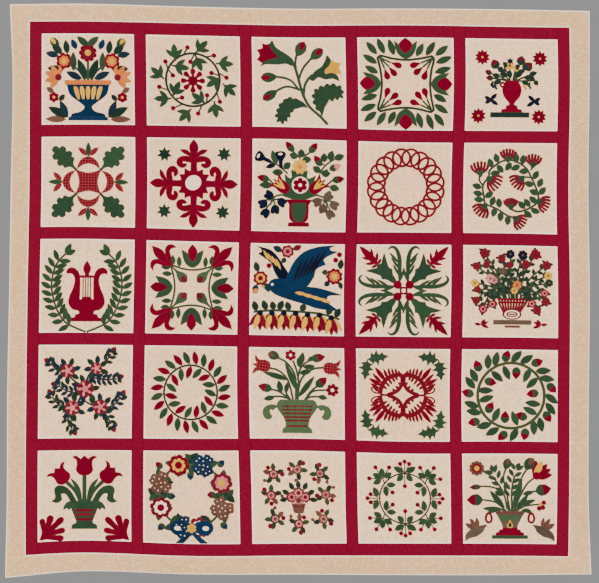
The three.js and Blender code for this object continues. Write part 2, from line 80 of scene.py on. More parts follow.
# How far each seam strays from its straight line, in mm, at both ends and at the middle of each block.
seamRise = {
    "bottomEdge": [-16, 13, -1, -2, -4, -4, -1],
    "sash5": [-2, 13, -2, 0, 0, -1, -4],
    "sash4": [2, 7, 4, 5, -8, -8, -12],
    "sash3": [13, 14, 9, 1, -4, -7, -12],
    "sash2": [21, 23, 12, 1, -2, -6, -14],
    "sash1": [14, 16, 10, 4, -9, -12, -14],
    "sash0": [12, 13, 4, -5, -4, -11, -15],
    "topEdge": [17, 19, 6, -3, -2, -6, -13],
}
seamShift = {
    "leftEdge": [-15, -8, -6, 3, 10, 18, 6],
    "sashA": [-9, -10, -7, -1, 7, 8, 9],
    "sashB": [-10, -11, -7, 1, 7, 3, -1],
    "sashC": [5, 0, -11, -8, 3, 3, -2],
    "sashD": [9, 0, -4, -7, 4, 3, -4],
    "sashE": [0, -2, -8, 0, 0, 11, 8],
    "sashF": [-5, 0, 2, 4, -3, 4, 0],
    "rightEdge": [9, -3, -2, 2, -4, 1, 2],
}


class Axis:
    def __init__(self, size, below, above):
        count, sash = plan["blocks"], plan["sash"]
        pitch = size + sash
        self.size = size
        self.half = count / 2 * pitch + sash / 2
        self.low, self.high = -self.half - below, self.half + above
        self.sashes = [(k - count / 2) * pitch - sash / 2 for k in range(count + 1)]
        self.middles = [start + sash + size / 2 for start in self.sashes[:count]]
        inner = [at for start in self.sashes for at in (start, start + sash)]
        self.knots = np.array([self.low, *inner, self.high])
        self.ends = np.array([self.low, *self.middles, self.high])
        turns = [start + sash / 2 for start in self.sashes]
        self.bends = np.array(sorted([*self.knots, *turns, *self.middles]))


across = Axis(plan["blockWidth"], plan["left"], plan["right"])
along = Axis(plan["blockHeight"], plan["bottom"], plan["top"])


def hermite(t, low, high, slopeLow, slopeHigh, reach):
    return (
        (2 * t**3 - 3 * t**2 + 1) * low
        + (t**3 - 2 * t**2 + t) * reach * slopeLow
        + (3 * t**2 - 2 * t**3) * high
        + (t**3 - t**2) * reach * slopeHigh
    )


def smoothCurve(stations, values, at):
    # a smooth line through one row of the table
    count = len(stations)
    k = np.clip(np.searchsorted(stations, at, side="right") - 1, 0, count - 2)
    before = np.maximum(np.arange(count) - 1, 0)
    after = np.minimum(np.arange(count) + 1, count - 1)
    slope = (values[after] - values[before]) / (stations[after] - stations[before])
    width = stations[k + 1] - stations[k]
    t = (at - stations[k]) / width
    return hermite(t, values[k], values[k + 1], slope[k], slope[k + 1], width)


def blendRows(table, knots, at, axis, station):
    rows = np.array([smoothCurve(axis.ends, np.array(row, float) * mm, station) for row in table.values()])
    k = np.clip(np.searchsorted(knots, at, side="right") - 1, 0, len(knots) - 2)
    share = (at - knots[k]) / (knots[k + 1] - knots[k])
    pick = np.arange(len(at))
    low = rows[(k + 1) // 2, pick]  # both sides of a sash share one row
    high = rows[(k + 2) // 2, pick]
    return low + (high - low) * share


def settle(x, y):
    # moves points of the straight plan to where the uneven cloth has them
    x, y = np.asarray(x, float).ravel(), np.asarray(y, float).ravel()
    dx = blendRows(seamShift, across.knots, x, along, y)
    dy = blendRows(seamRise, along.knots, y, across, x)
    return x + dx - middleShift[0], y + dy - middleShift[1]


def footprintMiddle():
    # the four edges are walked from bend to bend
    xEdge, yEdge = np.zeros_like(across.bends), np.zeros_like(along.bends)
    xs = np.concatenate([across.bends, across.bends, yEdge + across.low, yEdge + across.high])
    ys = np.concatenate([xEdge + along.low, xEdge + along.high, along.bends, along.bends])
    x, y = settle(xs, ys)
    return (x.min() + x.max()) / 2, (y.min() + y.max()) / 2


middleShift = (0, 0)
middleShift = footprintMiddle()

print("camera, floor and light")

studio = {
    "lens": 100,
    "viewWidth": 2.6356,  # metres of floor across the picture
    "aim": (0.0044, -0.0066),
    "floorTone": 0.121,
    "keyPower": 29600,
    "fillPower": 13000,
    "room": 0.72,
    "sensor": 36,
    "floorReach": 9,
    "floorDepth": 0.0006,  # the floor lies this far under the quilt
    "keyPlace": (-25, 23, 29),
    "keySize": (12, 12),
    "fillPlace": (20, -16, 29),
    "fillSize": (16, 16),
}


def makeStudio():
    aimX, aimY = studio["aim"][0] - middleShift[0], studio["aim"][1] - middleShift[1]
    camera = bpy.data.objects.new("camera", bpy.data.cameras.new("camera"))
    bpy.context.collection.objects.link(camera)
    camera.data.lens = studio["lens"]
    camera.data.sensor_width = studio["sensor"]
    away = studio["viewWidth"] * studio["lens"] / studio["sensor"]
    camera.location = (aimX, aimY, away)
    camera.data.clip_end = 100
    bpy.context.scene.camera = camera

    mesh = bpy.data.meshes.new("floor")
    reach = studio["floorReach"]
    corners = [(-reach, -reach, 0), (reach, -reach, 0), (reach, reach, 0), (-reach, reach, 0)]
    mesh.from_pydata(corners, [], [(0, 1, 2, 3)])
    floor = bpy.data.objects.new("floor", mesh)
    bpy.context.collection.objects.link(floor)
    floor.location.z = -studio["floorDepth"]
    mesh.materials.append(floorFinish())

    def softLight(name, place, size, power):
        lamp = bpy.data.lights.new(name, "AREA")
        lamp.shape = "RECTANGLE"
        lamp.size, lamp.size_y = size
        lamp.energy = power
        holder = bpy.data.objects.new(name, lamp)
        bpy.context.collection.objects.link(holder)
        holder.location = place
        holder.rotation_mode = "QUATERNION"
        holder.rotation_quaternion = (-Vector(place)).to_track_quat("-Z", "Y")

    softLight("keyLight", studio["keyPlace"], studio["keySize"], studio["keyPower"])
    softLight("fillLight", studio["fillPlace"], studio["fillSize"], studio["fillPower"])
    world = bpy.data.worlds.new("softRoom")
    world.use_nodes = True
    world.node_tree.nodes["Background"].inputs["Color"].default_value = (1, 1, 1, 1)
    world.node_tree.nodes["Background"].inputs["Strength"].default_value = studio["room"]
    bpy.context.scene.world = world


def tint(red, green, blue):
    # a colour as seen on the cloth, 0 to 255
    def part(value):
        value /= 255
        return value / 12.92 if value <= 0.04045 else ((value + 0.055) / 1.055) ** 2.4

    return (part(red), part(green), part(blue), 1)


class Wire:
    # one shader value, so that shader sums are written as plain sums
    def __init__(self, finish, socket):
        self.finish = finish
        self.socket = socket

    def __add__(self, other):
        return self.finish.sum("ADD", self, other)

    def __sub__(self, other):
        return self.finish.sum("SUBTRACT", self, other)

    def __rsub__(self, other):
        return self.finish.sum("SUBTRACT", other, self)

    def __mul__(self, other):
        return self.finish.sum("MULTIPLY", self, other)

    def __truediv__(self, other):
        return self.finish.sum("DIVIDE", self, other)

    def __gt__(self, other):
        return self.finish.sum("GREATER_THAN", self, other)

    def __lt__(self, other):
        return self.finish.sum("LESS_THAN", self, other)


class Finish:
    def __init__(self, name):
        self.material = bpy.data.materials.new(name)
        self.material.use_nodes = True
        self.tree = self.material.node_tree
        self.shader = self.tree.nodes["Principled BSDF"]

    def add(self, kind, settings, sockets, out=0):
        node = self.tree.nodes.new(kind)
        for key, value in settings.items():
            if key == "stops":
                self.setStops(node.color_ramp, value)
            else:
                setattr(node, key, value)
        for key, value in sockets.items():
            self.plug(node.inputs[key], value)
        return Wire(self, node.outputs[out])

    def setStops(self, ramp, stops):
        while len(ramp.elements) < len(stops):
            ramp.elements.new(0.5)
        for element, (place, colour) in zip(ramp.elements, stops):
            element.position = place
            element.color = colour

    def plug(self, socket, value):
        if isinstance(value, Wire):
            self.tree.links.new(value.socket, socket)
        else:
            socket.default_value = value

    def sum(self, operation, *values):
        return self.add("ShaderNodeMath", {"operation": operation}, dict(enumerate(values)))

    def clamp(self, value):
        return self.add("ShaderNodeClamp", {}, {"Value": value})

    def mix(self, share, low, high, blend="MIX"):
        sockets = {"Factor": share, 6: low, 7: high}
        return self.add("ShaderNodeMix", {"data_type": "RGBA", "blend_type": blend}, sockets, out=2)

    def noise(self, place, scale, detail=3, rough=0.55):
        sockets = {"Vector": place, "Scale": scale, "Detail": detail, "Roughness": rough}
        return self.add("ShaderNodeTexNoise", {}, sockets, out=0)

    def layout(self, name):
        # a laid out map in metres, with its two parts
        place = self.add("ShaderNodeUVMap", {"uv_map": name}, {})
        parts = self.tree.nodes.new("ShaderNodeSeparateXYZ")
        self.plug(parts.inputs[0], place)
        return place, Wire(self, parts.outputs[0]), Wire(self, parts.outputs[1])

    def attribute(self, name):
        return self.add("ShaderNodeAttribute", {"attribute_name": name}, {}, out="Fac")

    def body(self):
        return self.add("ShaderNodeTexCoord", {}, {}, out="Object")

    def set(self, **sockets):
        for name, value in sockets.items():
            self.plug(self.shader.inputs[name.replace("_", " ")], value)


def floorFinish():
    finish = Finish("floorPaper")
    tone = studio["floorTone"]
    grain = finish.noise(finish.body(), 3)
    low = (tone * 0.97, tone * 0.975, tone * 0.975, 1)
    high = (tone * 1.03, tone * 1.035, tone * 1.035, 1)
    finish.set(Base_Color=finish.mix(grain, low, high), Roughness=0.9)
    return finish.material


makeStudio()

print("cloth finishes")

weave = {
    "thread": 0.0011,  # metres from one thread to the next
    "height": 0.00012,
    "roughness": 0.92,
    "sheen": 0.01,
    "sheenRoughness": 0.6,
    "shine": 0.03,
    "relief": 0.6,  # how strongly the thread and stitch heights show
    "stitch": 0.0042,  # metres from one quilting stitch to the next
    "sewnDepth": 0.0003,
}


def wovenHeight(finish, u, v, thread):
    over = finish.sum("SINE", u * (2 * math.pi / thread), 0)
    under = finish.sum("SINE", v * (2 * math.pi / thread), 0)
    return over * under * 0.5 + 0.5


def lineNear(finish, value, pitch, width):
    # 1 on evenly spaced lines, 0 between them
    beside = finish.sum("PINGPONG", value + pitch * 400, pitch / 2)
    return finish.clamp(1 - beside / width)


def dashes(finish, value, pitch):
    return finish.sum("PINGPONG", value + pitch * 900, pitch) > pitch * 0.42


def finishCloth(finish, colour, height):
    sockets = {"Strength": weave["relief"], "Distance": 1.0, "Height": height}
    bump = finish.add("ShaderNodeBump", {}, sockets)
    finish.set(Base_Color=colour, Roughness=weave["roughness"], Normal=bump)
    finish.set(Sheen_Weight=weave["sheen"], Sheen_Roughness=weave["sheenRoughness"])
    finish.set(Specular_IOR_Level=weave["shine"])
    return finish.material


groundTones = {
    "light": tint(254, 210, 162),
    "dark": tint(242, 194, 142),
    "stain": tint(206, 162, 112),
    # painted shade tone: darkens the puckers, the grooves and the sunk stitch dashes
    "paintedShade": tint(176, 134, 96),
    # pale tone for painted highlights on the puffs and along the seams and quilt edge
    "edge": tint(255, 238, 214),
    "border": tint(220, 174, 118),
    "borderDark": tint(198, 152, 98),
}


# real stains and flecks, together with painted shade and painted highlights
ageingAndPaintedLight = {  # how much of each change the cream cloth takes
    "stains": 0.22,
    "flecks": 0.16,
    # the next four: painted pucker shade, painted highlights on the puffs (plain and quilted), painted shadow
    # in the grooves
    "paintedPuckerShade": 0.55,
    "paintedPuffLight": 0.34,
    "paintedPuffLightQuilted": 0.6,
    "sunk": 0.62,
    # painted highlight along the seams and the quilt edge
    "edge": 0.95,
    "sewn": 0.15,
    "lineWidth": 0.0009,
    "lineDepth": 0.0005,
}


# cream cotton: real stains and flecks, plus painted shade and painted highlights of the quilted relief
def agedCottonWithPaintedLight(name, light, dark, quilting):
    finish = Finish(name)
    _, u, v = finish.layout("plan")
    body = finish.body()
    cloudy = finish.noise(body, 5.5, 4)
    blotches = finish.add(
        "ShaderNodeValToRGB",
        {"stops": [(0.52, (0, 0, 0, 1)), (0.74, (1, 1, 1, 1))]},
        {"Fac": finish.noise(body, 9, 5, 0.62)},
    )
    flecks = finish.noise(body, 420, 2)
    colour = finish.mix(cloudy, dark, light)
    colour = finish.mix(blotches * ageingAndPaintedLight["stains"], colour, groundTones["stain"])
    colour = finish.mix(flecks * ageingAndPaintedLight["flecks"], colour, dark, "MULTIPLY")
    # painted shade: a darker mottle standing in for the shading of the quilted puckers
    paintedPuckerShade = finish.clamp((finish.noise(body, 92, 3, 0.6) - 0.45) * 3.6)
    colour = finish.mix(paintedPuckerShade * ageingAndPaintedLight["paintedPuckerShade"], colour, groundTones["paintedShade"])
    # painted highlight: pale spots standing in for light on the quilted puffs
    paintedPuffLight = finish.clamp((finish.noise(body, 150, 2, 0.5) - 0.5) * 5)
    puffLightShare = ageingAndPaintedLight["paintedPuffLightQuilted"] if quilting else ageingAndPaintedLight["paintedPuffLight"]
    colour = finish.mix(paintedPuffLight * puffLightShare, colour, groundTones["edge"])
    sunk = finish.attribute("dip")
    shadow = finish.clamp(sunk * finish.noise(body, 34, 3) * ageingAndPaintedLight["sunk"])
    colour = finish.mix(shadow, colour, groundTones["paintedShade"])
    # painted highlight: a pale line along the seams and the quilt edge
    colour = finish.mix(finish.attribute("edge") * ageingAndPaintedLight["edge"], colour, groundTones["edge"])
    height = wovenHeight(finish, u, v, weave["thread"]) * weave["height"]
    if quilting:
        lines = lineNear(finish, quilting.value(u, v), quilting.pitch, ageingAndPaintedLight["lineWidth"])
        sewn = lines * dashes(finish, u + v, weave["stitch"])
        height = height - sewn * ageingAndPaintedLight["lineDepth"]
        # the sunk stitch dashes are darkened with the painted shade tone
        colour = finish.mix(sewn * ageingAndPaintedLight["sewn"], colour, groundTones["paintedShade"])
    else:
        sewn = finish.clamp(sunk) * dashes(finish, u + v, weave["stitch"])
        height = height - sewn * weave["sewnDepth"]
    return finishCloth(finish, colour, height)


class Quilting:
    # stitch lines of a background, at even steps of a value
    def __init__(self, pitch, value):
        self.pitch = pitch
        self.value = value


blockGrid = {"columns": 80, "rows": 78}
cellWide = plan["blockWidth"] / blockGrid["columns"]
cellHigh = plan["blockHeight"] / blockGrid["rows"]

print("quilted ground")

loft = {  # heights of the quilted cloth, in mm
    "seam": 2.55,
    "block": 3.85,
    "blockReach": 5.0,
    "sash": 3.75,
    "sashReach": 6.5,
    "border": 3.75,
    "borderReach": 6.0,
    "edge": 1.3,
    "edgeReach": 6.0,
    "groove": 1.05,
    "cableGroove": 1.35,
    "swell": 0.28,
    "pucker": 0.42,
    "patchDitch": 0.7,
    "ditchReach": 3.2,
    "calmReach": 6.0,  # gathers and quilting fade out this close to a patch
    # mm over which the painted highlight along the block seams fades
    "paleReach": 4.2,
    "seamCalm": 4.0,
    "ditchShade": 0.4,
}


def blockMiddle(column, row):
    # rows are counted from the top
    return across.middles[column], along.middles[plan["blocks"] - 1 - row]


def fade(distance, reach):
    # 1 at no distance, falling off over a reach in mm
    return np.exp(-((distance / (reach * mm)) ** 2))


def swell(x, y):
    # the slow unevenness of padded cloth, in mm
    waves = (
        np.sin(x * 21.0 + 1.3 * np.sin(y * 9.0)) * 0.34
        + np.sin(y * 24.0 + 1.1 * np.sin(x * 11.0) + 1.0) * 0.33
        + np.sin((x + y) * 47.0 + 2.1) * 0.17
        + np.sin((x - y) * 53.0 + 0.4) * 0.16
    )
    return waves * loft["swell"]


def pucker(x, y):
    # the small gathers between lines of quilting, in mm
    crossed = np.sin(x * 330 + 2.6 * np.sin(y * 63 + 0.7)) * np.sin(y * 300 + 2.4 * np.sin(x * 71))
    slanted = np.sin((x + y) * 210 + 2 * np.sin((x - y) * 47))
    return (crossed * 0.6 + slanted * 0.4) * loft["pucker"]


def rise(distance, reach):
    return 1 - np.exp(-np.maximum(distance, 0) / (reach * mm))


def makePiece(name, mesh, nodes):
    piece = bpy.data.objects.new(name, mesh)
    bpy.context.collection.objects.link(piece)
    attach(piece, "root")
    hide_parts(*nodes)
    return piece


def fillMesh(name, points, faces, materials, faceCloths):
    mesh = bpy.data.meshes.new(name)
    mesh.from_pydata([tuple(p) for p in points], [], faces)
    for material in materials:
        mesh.materials.append(material)
    mesh.polygons.foreach_set("material_index", faceCloths)
    mesh.shade_smooth()
    mesh.set_sharp_from_angle(angle=math.radians(55))
    return mesh


def cornerPoints(mesh):
    corners = np.empty(len(mesh.loops), dtype=np.int32)
    mesh.loops.foreach_get("vertex_index", corners)
    return corners


def addMap(mesh, name, values):
    # values: one pair for each point
    layer = mesh.uv_layers.new(name=name)
    layer.uv.foreach_set("vector", np.asarray(values, np.float32)[cornerPoints(mesh)].ravel())


def addFloat(mesh, name, values):
    layer = mesh.attributes.new(name, "FLOAT", "POINT")
    layer.data.foreach_set("value", np.asarray(values, np.float32))


def quiltedSheet(name, xs, ys, heightOf, materials):
    # a closed padded sheet over a grid of the plan; heightOf gives the height,
    # how deep the stitching sinks, which also sets painted shade, and how much painted highlight shows at the
    # edge
    columns, rows = len(xs), len(ys)
    gridX, gridY = np.meshgrid(xs, ys)
    gridX, gridY = gridX.ravel(), gridY.ravel()
    height, dip, edge = heightOf(gridX, gridY)
    x, y = settle(gridX, gridY)
    top = np.column_stack([x, y, height * mm])
    rim = list(range(columns))
    rim += [j * columns + columns - 1 for j in range(1, rows)]
    rim += [(rows - 1) * columns + i for i in range(columns - 2, -1, -1)]
    rim += [j * columns for j in range(rows - 2, 0, -1)]
    under = top[rim] * (1, 1, 0)
    points = np.vstack([top, under])
    corner = np.arange(columns * rows).reshape(rows, columns)
    quads = np.stack([corner[:-1, :-1], corner[:-1, 1:], corner[1:, 1:], corner[1:, :-1]], axis=-1)
    faces = [tuple(q) for q in quads.reshape(-1, 4).tolist()]
    faceCloths = [0] * len(faces)
    base, count = columns * rows, len(rim)
    for k in range(count):
        n = (k + 1) % count
        faces.append((rim[n], rim[k], base + k, base + n))
        faceCloths.append(0)
    faces.append(tuple(base + k for k in range(count - 1, -1, -1)))
    faceCloths.append(1)
    mesh = fillMesh(name, points, faces, materials, faceCloths)
    gridX, gridY = np.append(gridX, gridX[rim]), np.append(gridY, gridY[rim])
    addMap(mesh, "plan", np.column_stack([gridX, gridY]))
    addFloat(mesh, "dip", np.append(dip, dip[rim]))
    addFloat(mesh, "edge", np.append(edge, edge[rim]))
    return mesh


def evenly(low, high, step):
    return np.linspace(low, high, max(2, round((high - low) / step)) + 1)


def seamed(stations, reach=(0.0012, 0.003)):
    # two more stations near each end, where the seam pulls the padding down
    near = [stations[0] + r for r in reach] + [stations[-1] - r for r in reach]
    inner = [s for s in stations[1:-1] if stations[0] + reach[-1] * 1.3 < s < stations[-1] - reach[-1] * 1.3]
    return np.array(sorted([stations[0], stations[-1], *near, *inner]))


backing = agedCottonWithPaintedLight("backingCotton", groundTones["light"], groundTones["dark"], None)

# Quilting of the blocks' backgrounds; even grid lines are stitched.
pitchHigh = 2 * cellHigh


def squareGroove(i, j):
    return np.where((i % 2 == 0) | (j % 2 == 0), 1.0, 0.0)


def rowGroove(i, j):
    return np.where(j % 2 == 0, 1.0, 0.0)


def diagonalGroove(i, j):
    return np.where((i + j) % 3 == 0, 1.0, 0.0)


def diamondGroove(i, j):
    return np.where(((i + j) % 4 == 0) | ((i - j) % 4 == 0), 1.0, 0.0)


quiltings = {
    "rows": Quilting(pitchHigh, lambda u, v: v),
    "diagonals": Quilting(3 * cellWide, lambda u, v: u + v * (cellWide / cellHigh)),
    "squares": None,
    "diamonds": None,
}
groundCloths = {
    style: agedCottonWithPaintedLight("blockCotton_" + style, groundTones["light"], groundTones["dark"], quilting)
    for style, quilting in quiltings.items()
}
grooves = {
    "rows": rowGroove,
    "diagonals": diagonalGroove,
    "squares": squareGroove,
    "diamonds": diamondGroove,
}


def smoothBlock(x, y, column, row):
    # height of a block's padding without its quilting, in mm; x and y in the plan
    middleX, middleY = blockMiddle(column, row)
    edgeX = across.size / 2 - np.abs(x - middleX)
    edgeY = along.size / 2 - np.abs(y - middleY)
    lift = rise(np.minimum(edgeX, edgeY), loft["blockReach"])
    return loft["seam"] + (loft["block"] - loft["seam"] + swell(x, y)) * lift


def distanceTo(points, sites, reach):
    # distance from each point to the nearest site, up to a reach, in metres
    if not len(sites):
        return np.full(len(points), reach)
    nearest = np.full(len(points), reach)
    for start in range(0, len(points), 1500):
        part = points[start : start + 1500]
        gaps = np.hypot(part[:, None, 0] - sites[None, :, 0], part[:, None, 1] - sites[None, :, 1])
        nearest[start : start + 1500] = np.minimum(gaps.min(axis=1), reach)
    return nearest


def makeBlock(column, row, style, outlines):
    name = f"block_r{row + 1}c{column + 1}"
    halfX, halfY = across.size / 2 - plan["gap"] / 2, along.size / 2 - plan["gap"] / 2
    middleX, middleY = blockMiddle(column, row)
    xs = np.linspace(middleX - halfX, middleX + halfX, blockGrid["columns"] + 1)
    ys = np.linspace(middleY - halfY, middleY + halfY, blockGrid["rows"] + 1)
    gridI, gridJ = np.meshgrid(np.arange(len(xs)), np.arange(len(ys)))
    groove = grooves[style](gridI.ravel(), gridJ.ravel())

    def heightOf(x, y):
        smooth = smoothBlock(x, y, column, row)
        near = distanceTo(np.column_stack([x, y]), outlines, 0.03)
        ditch = fade(near, loft["ditchReach"])
        sideX, sideY = halfX - np.abs(x - middleX), halfY - np.abs(y - middleY)
        calm = np.clip(near / (loft["calmReach"] * mm), 0, 1)
        calm = calm * rise(sideX, loft["seamCalm"]) * rise(sideY, loft["seamCalm"])
        dip = np.maximum(groove * calm, ditch * loft["ditchShade"])
        uneven = 0.62 + 0.38 * np.sin(x * 61 + 2 * np.sin(y * 43)) * np.sin(y * 57 + 1.7)
        height = smooth + pucker(x, y) * calm - groove * calm * uneven * loft["groove"]
        height = height - ditch * loft["patchDitch"]
        # dip also sets painted shade in the grooves and ditches; the last value sets the painted highlight
        # along the block's seams
        return height, dip, fade(np.minimum(sideX, sideY), loft["paleReach"])

    mesh = quiltedSheet(name, xs, ys, heightOf, [groundCloths[style], backing])
    return makePiece("cloth_" + name, mesh, [name])


print("sashing and borders")

sashLook = {
    "red": tint(100, 5, 29),
    # deep red, also used for painted shadow at the seams and painted shade in the grooves
    "deep": tint(84, 3, 22),
    # pale red for mottling: partly the cloth's fading, partly painted light on the quilted relief
    "paleMottle": tint(118, 16, 42),
    "step": 0.0052,
    "slant": 0.027,  # metres between the slanting lines of quilting
    "lean": 0.7,
    "depth": 0.4,
}


def sashCotton():
    finish = Finish("sashCotton")
    _, u, v = finish.layout("strip")
    body = finish.body()
    colour = finish.mix(finish.noise(body, 4.5, 4), sashLook["deep"], sashLook["red"])
    # lighter mottling, partly the cloth's own fading and partly painted light on the quilted relief
    colour = finish.mix(finish.noise(body, 60, 3) * 0.6, colour, sashLook["paleMottle"])
    # painted shadow: the sash darkened along its seams
    colour = finish.mix(finish.attribute("edge") * 0.5, colour, sashLook["deep"])
    height = wovenHeight(finish, u, v, weave["thread"]) * weave["height"]
    sunk = finish.attribute("dip")
    sewn = finish.clamp(sunk) * dashes(finish, u + v, weave["stitch"])
    height = height - sewn * weave["sewnDepth"]
    # painted shade in the quilting grooves
    colour = finish.mix(finish.clamp(sunk * 0.45), colour, sashLook["deep"])
    return finishCloth(finish, colour, height)


sashCloth = sashCotton()


def sashHeight(alongIt, overIt, width):
    # crown of a strip, quilted with slanting lines across it, in mm
    lift = rise(width / 2 - np.abs(overIt), loft["sashReach"])
    steps = (alongIt + overIt * sashLook["lean"]) / sashLook["slant"]
    slant = np.abs((steps + 500) % 1 - 0.5)
    groove = np.clip(1 - slant / 0.13, 0, 1) * lift
    height = loft["seam"] + (loft["sash"] - loft["seam"]) * lift - sashLook["depth"] * groove
    return height, groove


def makeSash(name, upright, centre, low, high):
    gap = plan["gap"] / 2
    wide = seamed(np.linspace(-plan["sash"] / 2 + gap, plan["sash"] / 2 - gap, 10))
    run = evenly(low + gap, high - gap, sashLook["step"])

    def heightOf(x, y):
        overIt, alongIt = (x - centre, y) if upright else (y - centre, x)
        height, groove = sashHeight(alongIt, overIt, plan["sash"])
        height = height + swell(x, y) * 0.6 + pucker(x, y) * 0.7
        # the last value sets the painted shadow along the sash's seams
        return height, groove, fade(plan["sash"] / 2 - np.abs(overIt), 2)

    xs, ys = (wide + centre, run) if upright else (run, wide + centre)
    mesh = quiltedSheet(name, xs, ys, heightOf, [sashCloth, backing])
    gridX, gridY = planOf(mesh)
    strip = np.column_stack([gridY, gridX - centre] if upright else [gridX, gridY - centre])
    addMap(mesh, "strip", strip)
    return mesh


def planOf(mesh):
    # each point's place in the straight plan, from its map
    values = np.empty(len(mesh.loops) * 2, dtype=np.float32)
    mesh.uv_layers["plan"].uv.foreach_get("vector", values)
    out = np.zeros((len(mesh.vertices), 2))
    out[cornerPoints(mesh)] = values.reshape(-1, 2)
    return out[:, 0], out[:, 1]


def makeSashing():
    low, high = -along.half, along.half
    for k, start in enumerate(across.sashes):
        centre = start + plan["sash"] / 2
        mesh = makeSash(f"sashUpright{k}", True, centre, low, high)
        piece = makePiece(f"sashUpright{k}", mesh, ["sashing"])
        high - low
    for k, start in enumerate(along.sashes):
        centre = start + plan["sash"] / 2
        for c in range(plan["blocks"]):
            left = across.middles[c] - across.size / 2
            mesh = makeSash(f"sashCross{k}_{c}", False, centre, left, left + across.size)
            piece = makePiece(f"sashCross{k}_{c}", mesh, ["sashing"])


border = {
    "link": 0.072,  # one oval of the quilted cable
    "swing": 0.0205,
    "strand": 0.0055,  # half the space between the two lines of a strand
    "cell": 0.005,
    "lineWidth": 0.0034,
    "hemAt": 0.007,  # the line of sewing that holds the turned edge
}


def cableGroove(alongIt, overIt):
    # depth, 0 to 1, of the interlaced cable quilted along a border
    best = np.full_like(alongIt, 9.0)
    for phase in (0, math.pi):
        angle = math.pi * alongIt / border["link"] + phase
        slope = border["swing"] * math.pi / border["link"] * np.cos(angle)
        for side in (-1, 1):
            line = border["swing"] * np.sin(angle) + side * border["strand"] * np.sqrt(1 + slope**2)
            best = np.minimum(best, np.abs(overIt - line) / np.sqrt(1 + slope**2))
    return np.clip(1 - best / border["lineWidth"], 0, 1)


borderCloth = agedCottonWithPaintedLight("borderCotton", groundTones["border"], groundTones["borderDark"], None)


def makeBorder(side):
    flat = side in ("top", "bottom")
    lengthAxis, widthAxis = (across, along) if flat else (along, across)
    gap = plan["gap"] / 2
    low = side in ("bottom", "left")
    outer, inner = widthAxis.high, widthAxis.half + gap
    if low:
        outer, inner = widthAxis.low, -widthAxis.half - gap
    ends = (-lengthAxis.half + gap, lengthAxis.half - gap)
    if flat:
        ends = (lengthAxis.low, lengthAxis.high)
    run = evenly(*ends, border["cell"])
    wide = seamed(evenly(min(outer, inner), max(outer, inner), border["cell"]))
    centre = (outer + inner) / 2

    def heightOf(x, y):
        overIt, alongIt = (y, x) if flat else (x, y)
        fromEdge = np.abs(overIt - outer)
        if flat:  # the short ends of these strips are quilt edges too
            fromEdge = np.minimum(fromEdge, np.minimum(alongIt - ends[0], ends[1] - alongIt))
        edge = rise(fromEdge, loft["edgeReach"])
        seam = rise(np.abs(overIt - inner), loft["borderReach"])
        groove = cableGroove(alongIt, overIt - centre) * edge * seam
        hem = fade(fromEdge - border["hemAt"], 1.6)
        full = loft["border"] + swell(x, y) + pucker(x, y) * 0.6
        height = loft["edge"] + (full - loft["edge"]) * edge - (full - loft["seam"]) * (1 - seam)
        height = np.maximum(height - groove * loft["cableGroove"] - hem * 0.25, 0.8)
        # dip sets painted shade in the cable and hem grooves; the last value sets a painted highlight along
        # the quilt edge and beside the red seams
        besideRed = (np.abs(alongIt) < lengthAxis.half) * fade(overIt - inner, 3)
        return height, np.maximum(groove, hem * 0.6), np.maximum(fade(fromEdge, 3), besideRed)

    xs, ys = (run, wide) if flat else (wide, run)
    mesh = quiltedSheet(f"border_{side}", xs, ys, heightOf, [borderCloth, backing])
    piece = makePiece(f"cloth_border_{side}", mesh, [f"border_{side}"])
    abs(outer - inner)
    ends[1] - ends[0]


makeSashing()
for side in ("top", "bottom", "left", "right"):
    makeBorder(side)

print("patch cloths")

cloths = {  # base, second tone, and how it is printed
    "red": (tint(102, 3, 28), tint(82, 1, 19), "fine"),
    "redPrint": (tint(106, 12, 32), tint(72, 2, 20), "dots"),
    "redPlaid": (tint(92, 4, 20), tint(168, 92, 82), "plaid"),
    "green": (tint(40, 62, 40), tint(28, 46, 32), "fine"),
    "greenDark": (tint(26, 46, 34), tint(16, 32, 26), "fine"),
    "greenPrint": (tint(60, 78, 50), tint(34, 48, 34), "dots"),
    "leaf": (tint(66, 84, 54), tint(46, 64, 42), "dots"),
    "olive": (tint(50, 64, 34), tint(34, 46, 28), "dots"),
    "teal": (tint(20, 40, 48), tint(12, 26, 36), "fine"),
    "blue": (tint(10, 40, 66), tint(5, 26, 44), "fine"),
    "navy": (tint(10, 18, 38), tint(5, 10, 24), "fine"),
    "yellow": (tint(200, 152, 48), tint(172, 118, 30), "fine"),
    "orange": (tint(192, 110, 48), tint(164, 84, 38), "dots"),
    "brown": (tint(98, 64, 50), tint(68, 42, 36), "dots"),
    "bell": (tint(86, 70, 56), tint(56, 44, 40), "dots"),
    "pink": (tint(198, 122, 114), tint(160, 70, 78), "dots"),
    "rose": (tint(104, 18, 34), tint(72, 12, 26), "dots"),
    "cream": (tint(240, 204, 172), tint(226, 190, 158), "fine"),
}


patchLook = {
    "dotScale": 190,
    "dotSize": 0.28,
    "dotShare": 0.55,
    "plaid": 0.0125,  # metres from bar to bar
    "barWidth": 0.0009,
    "barShare": 0.65,
    "rimShade": 0.7,
    "worn": 0.1,
}


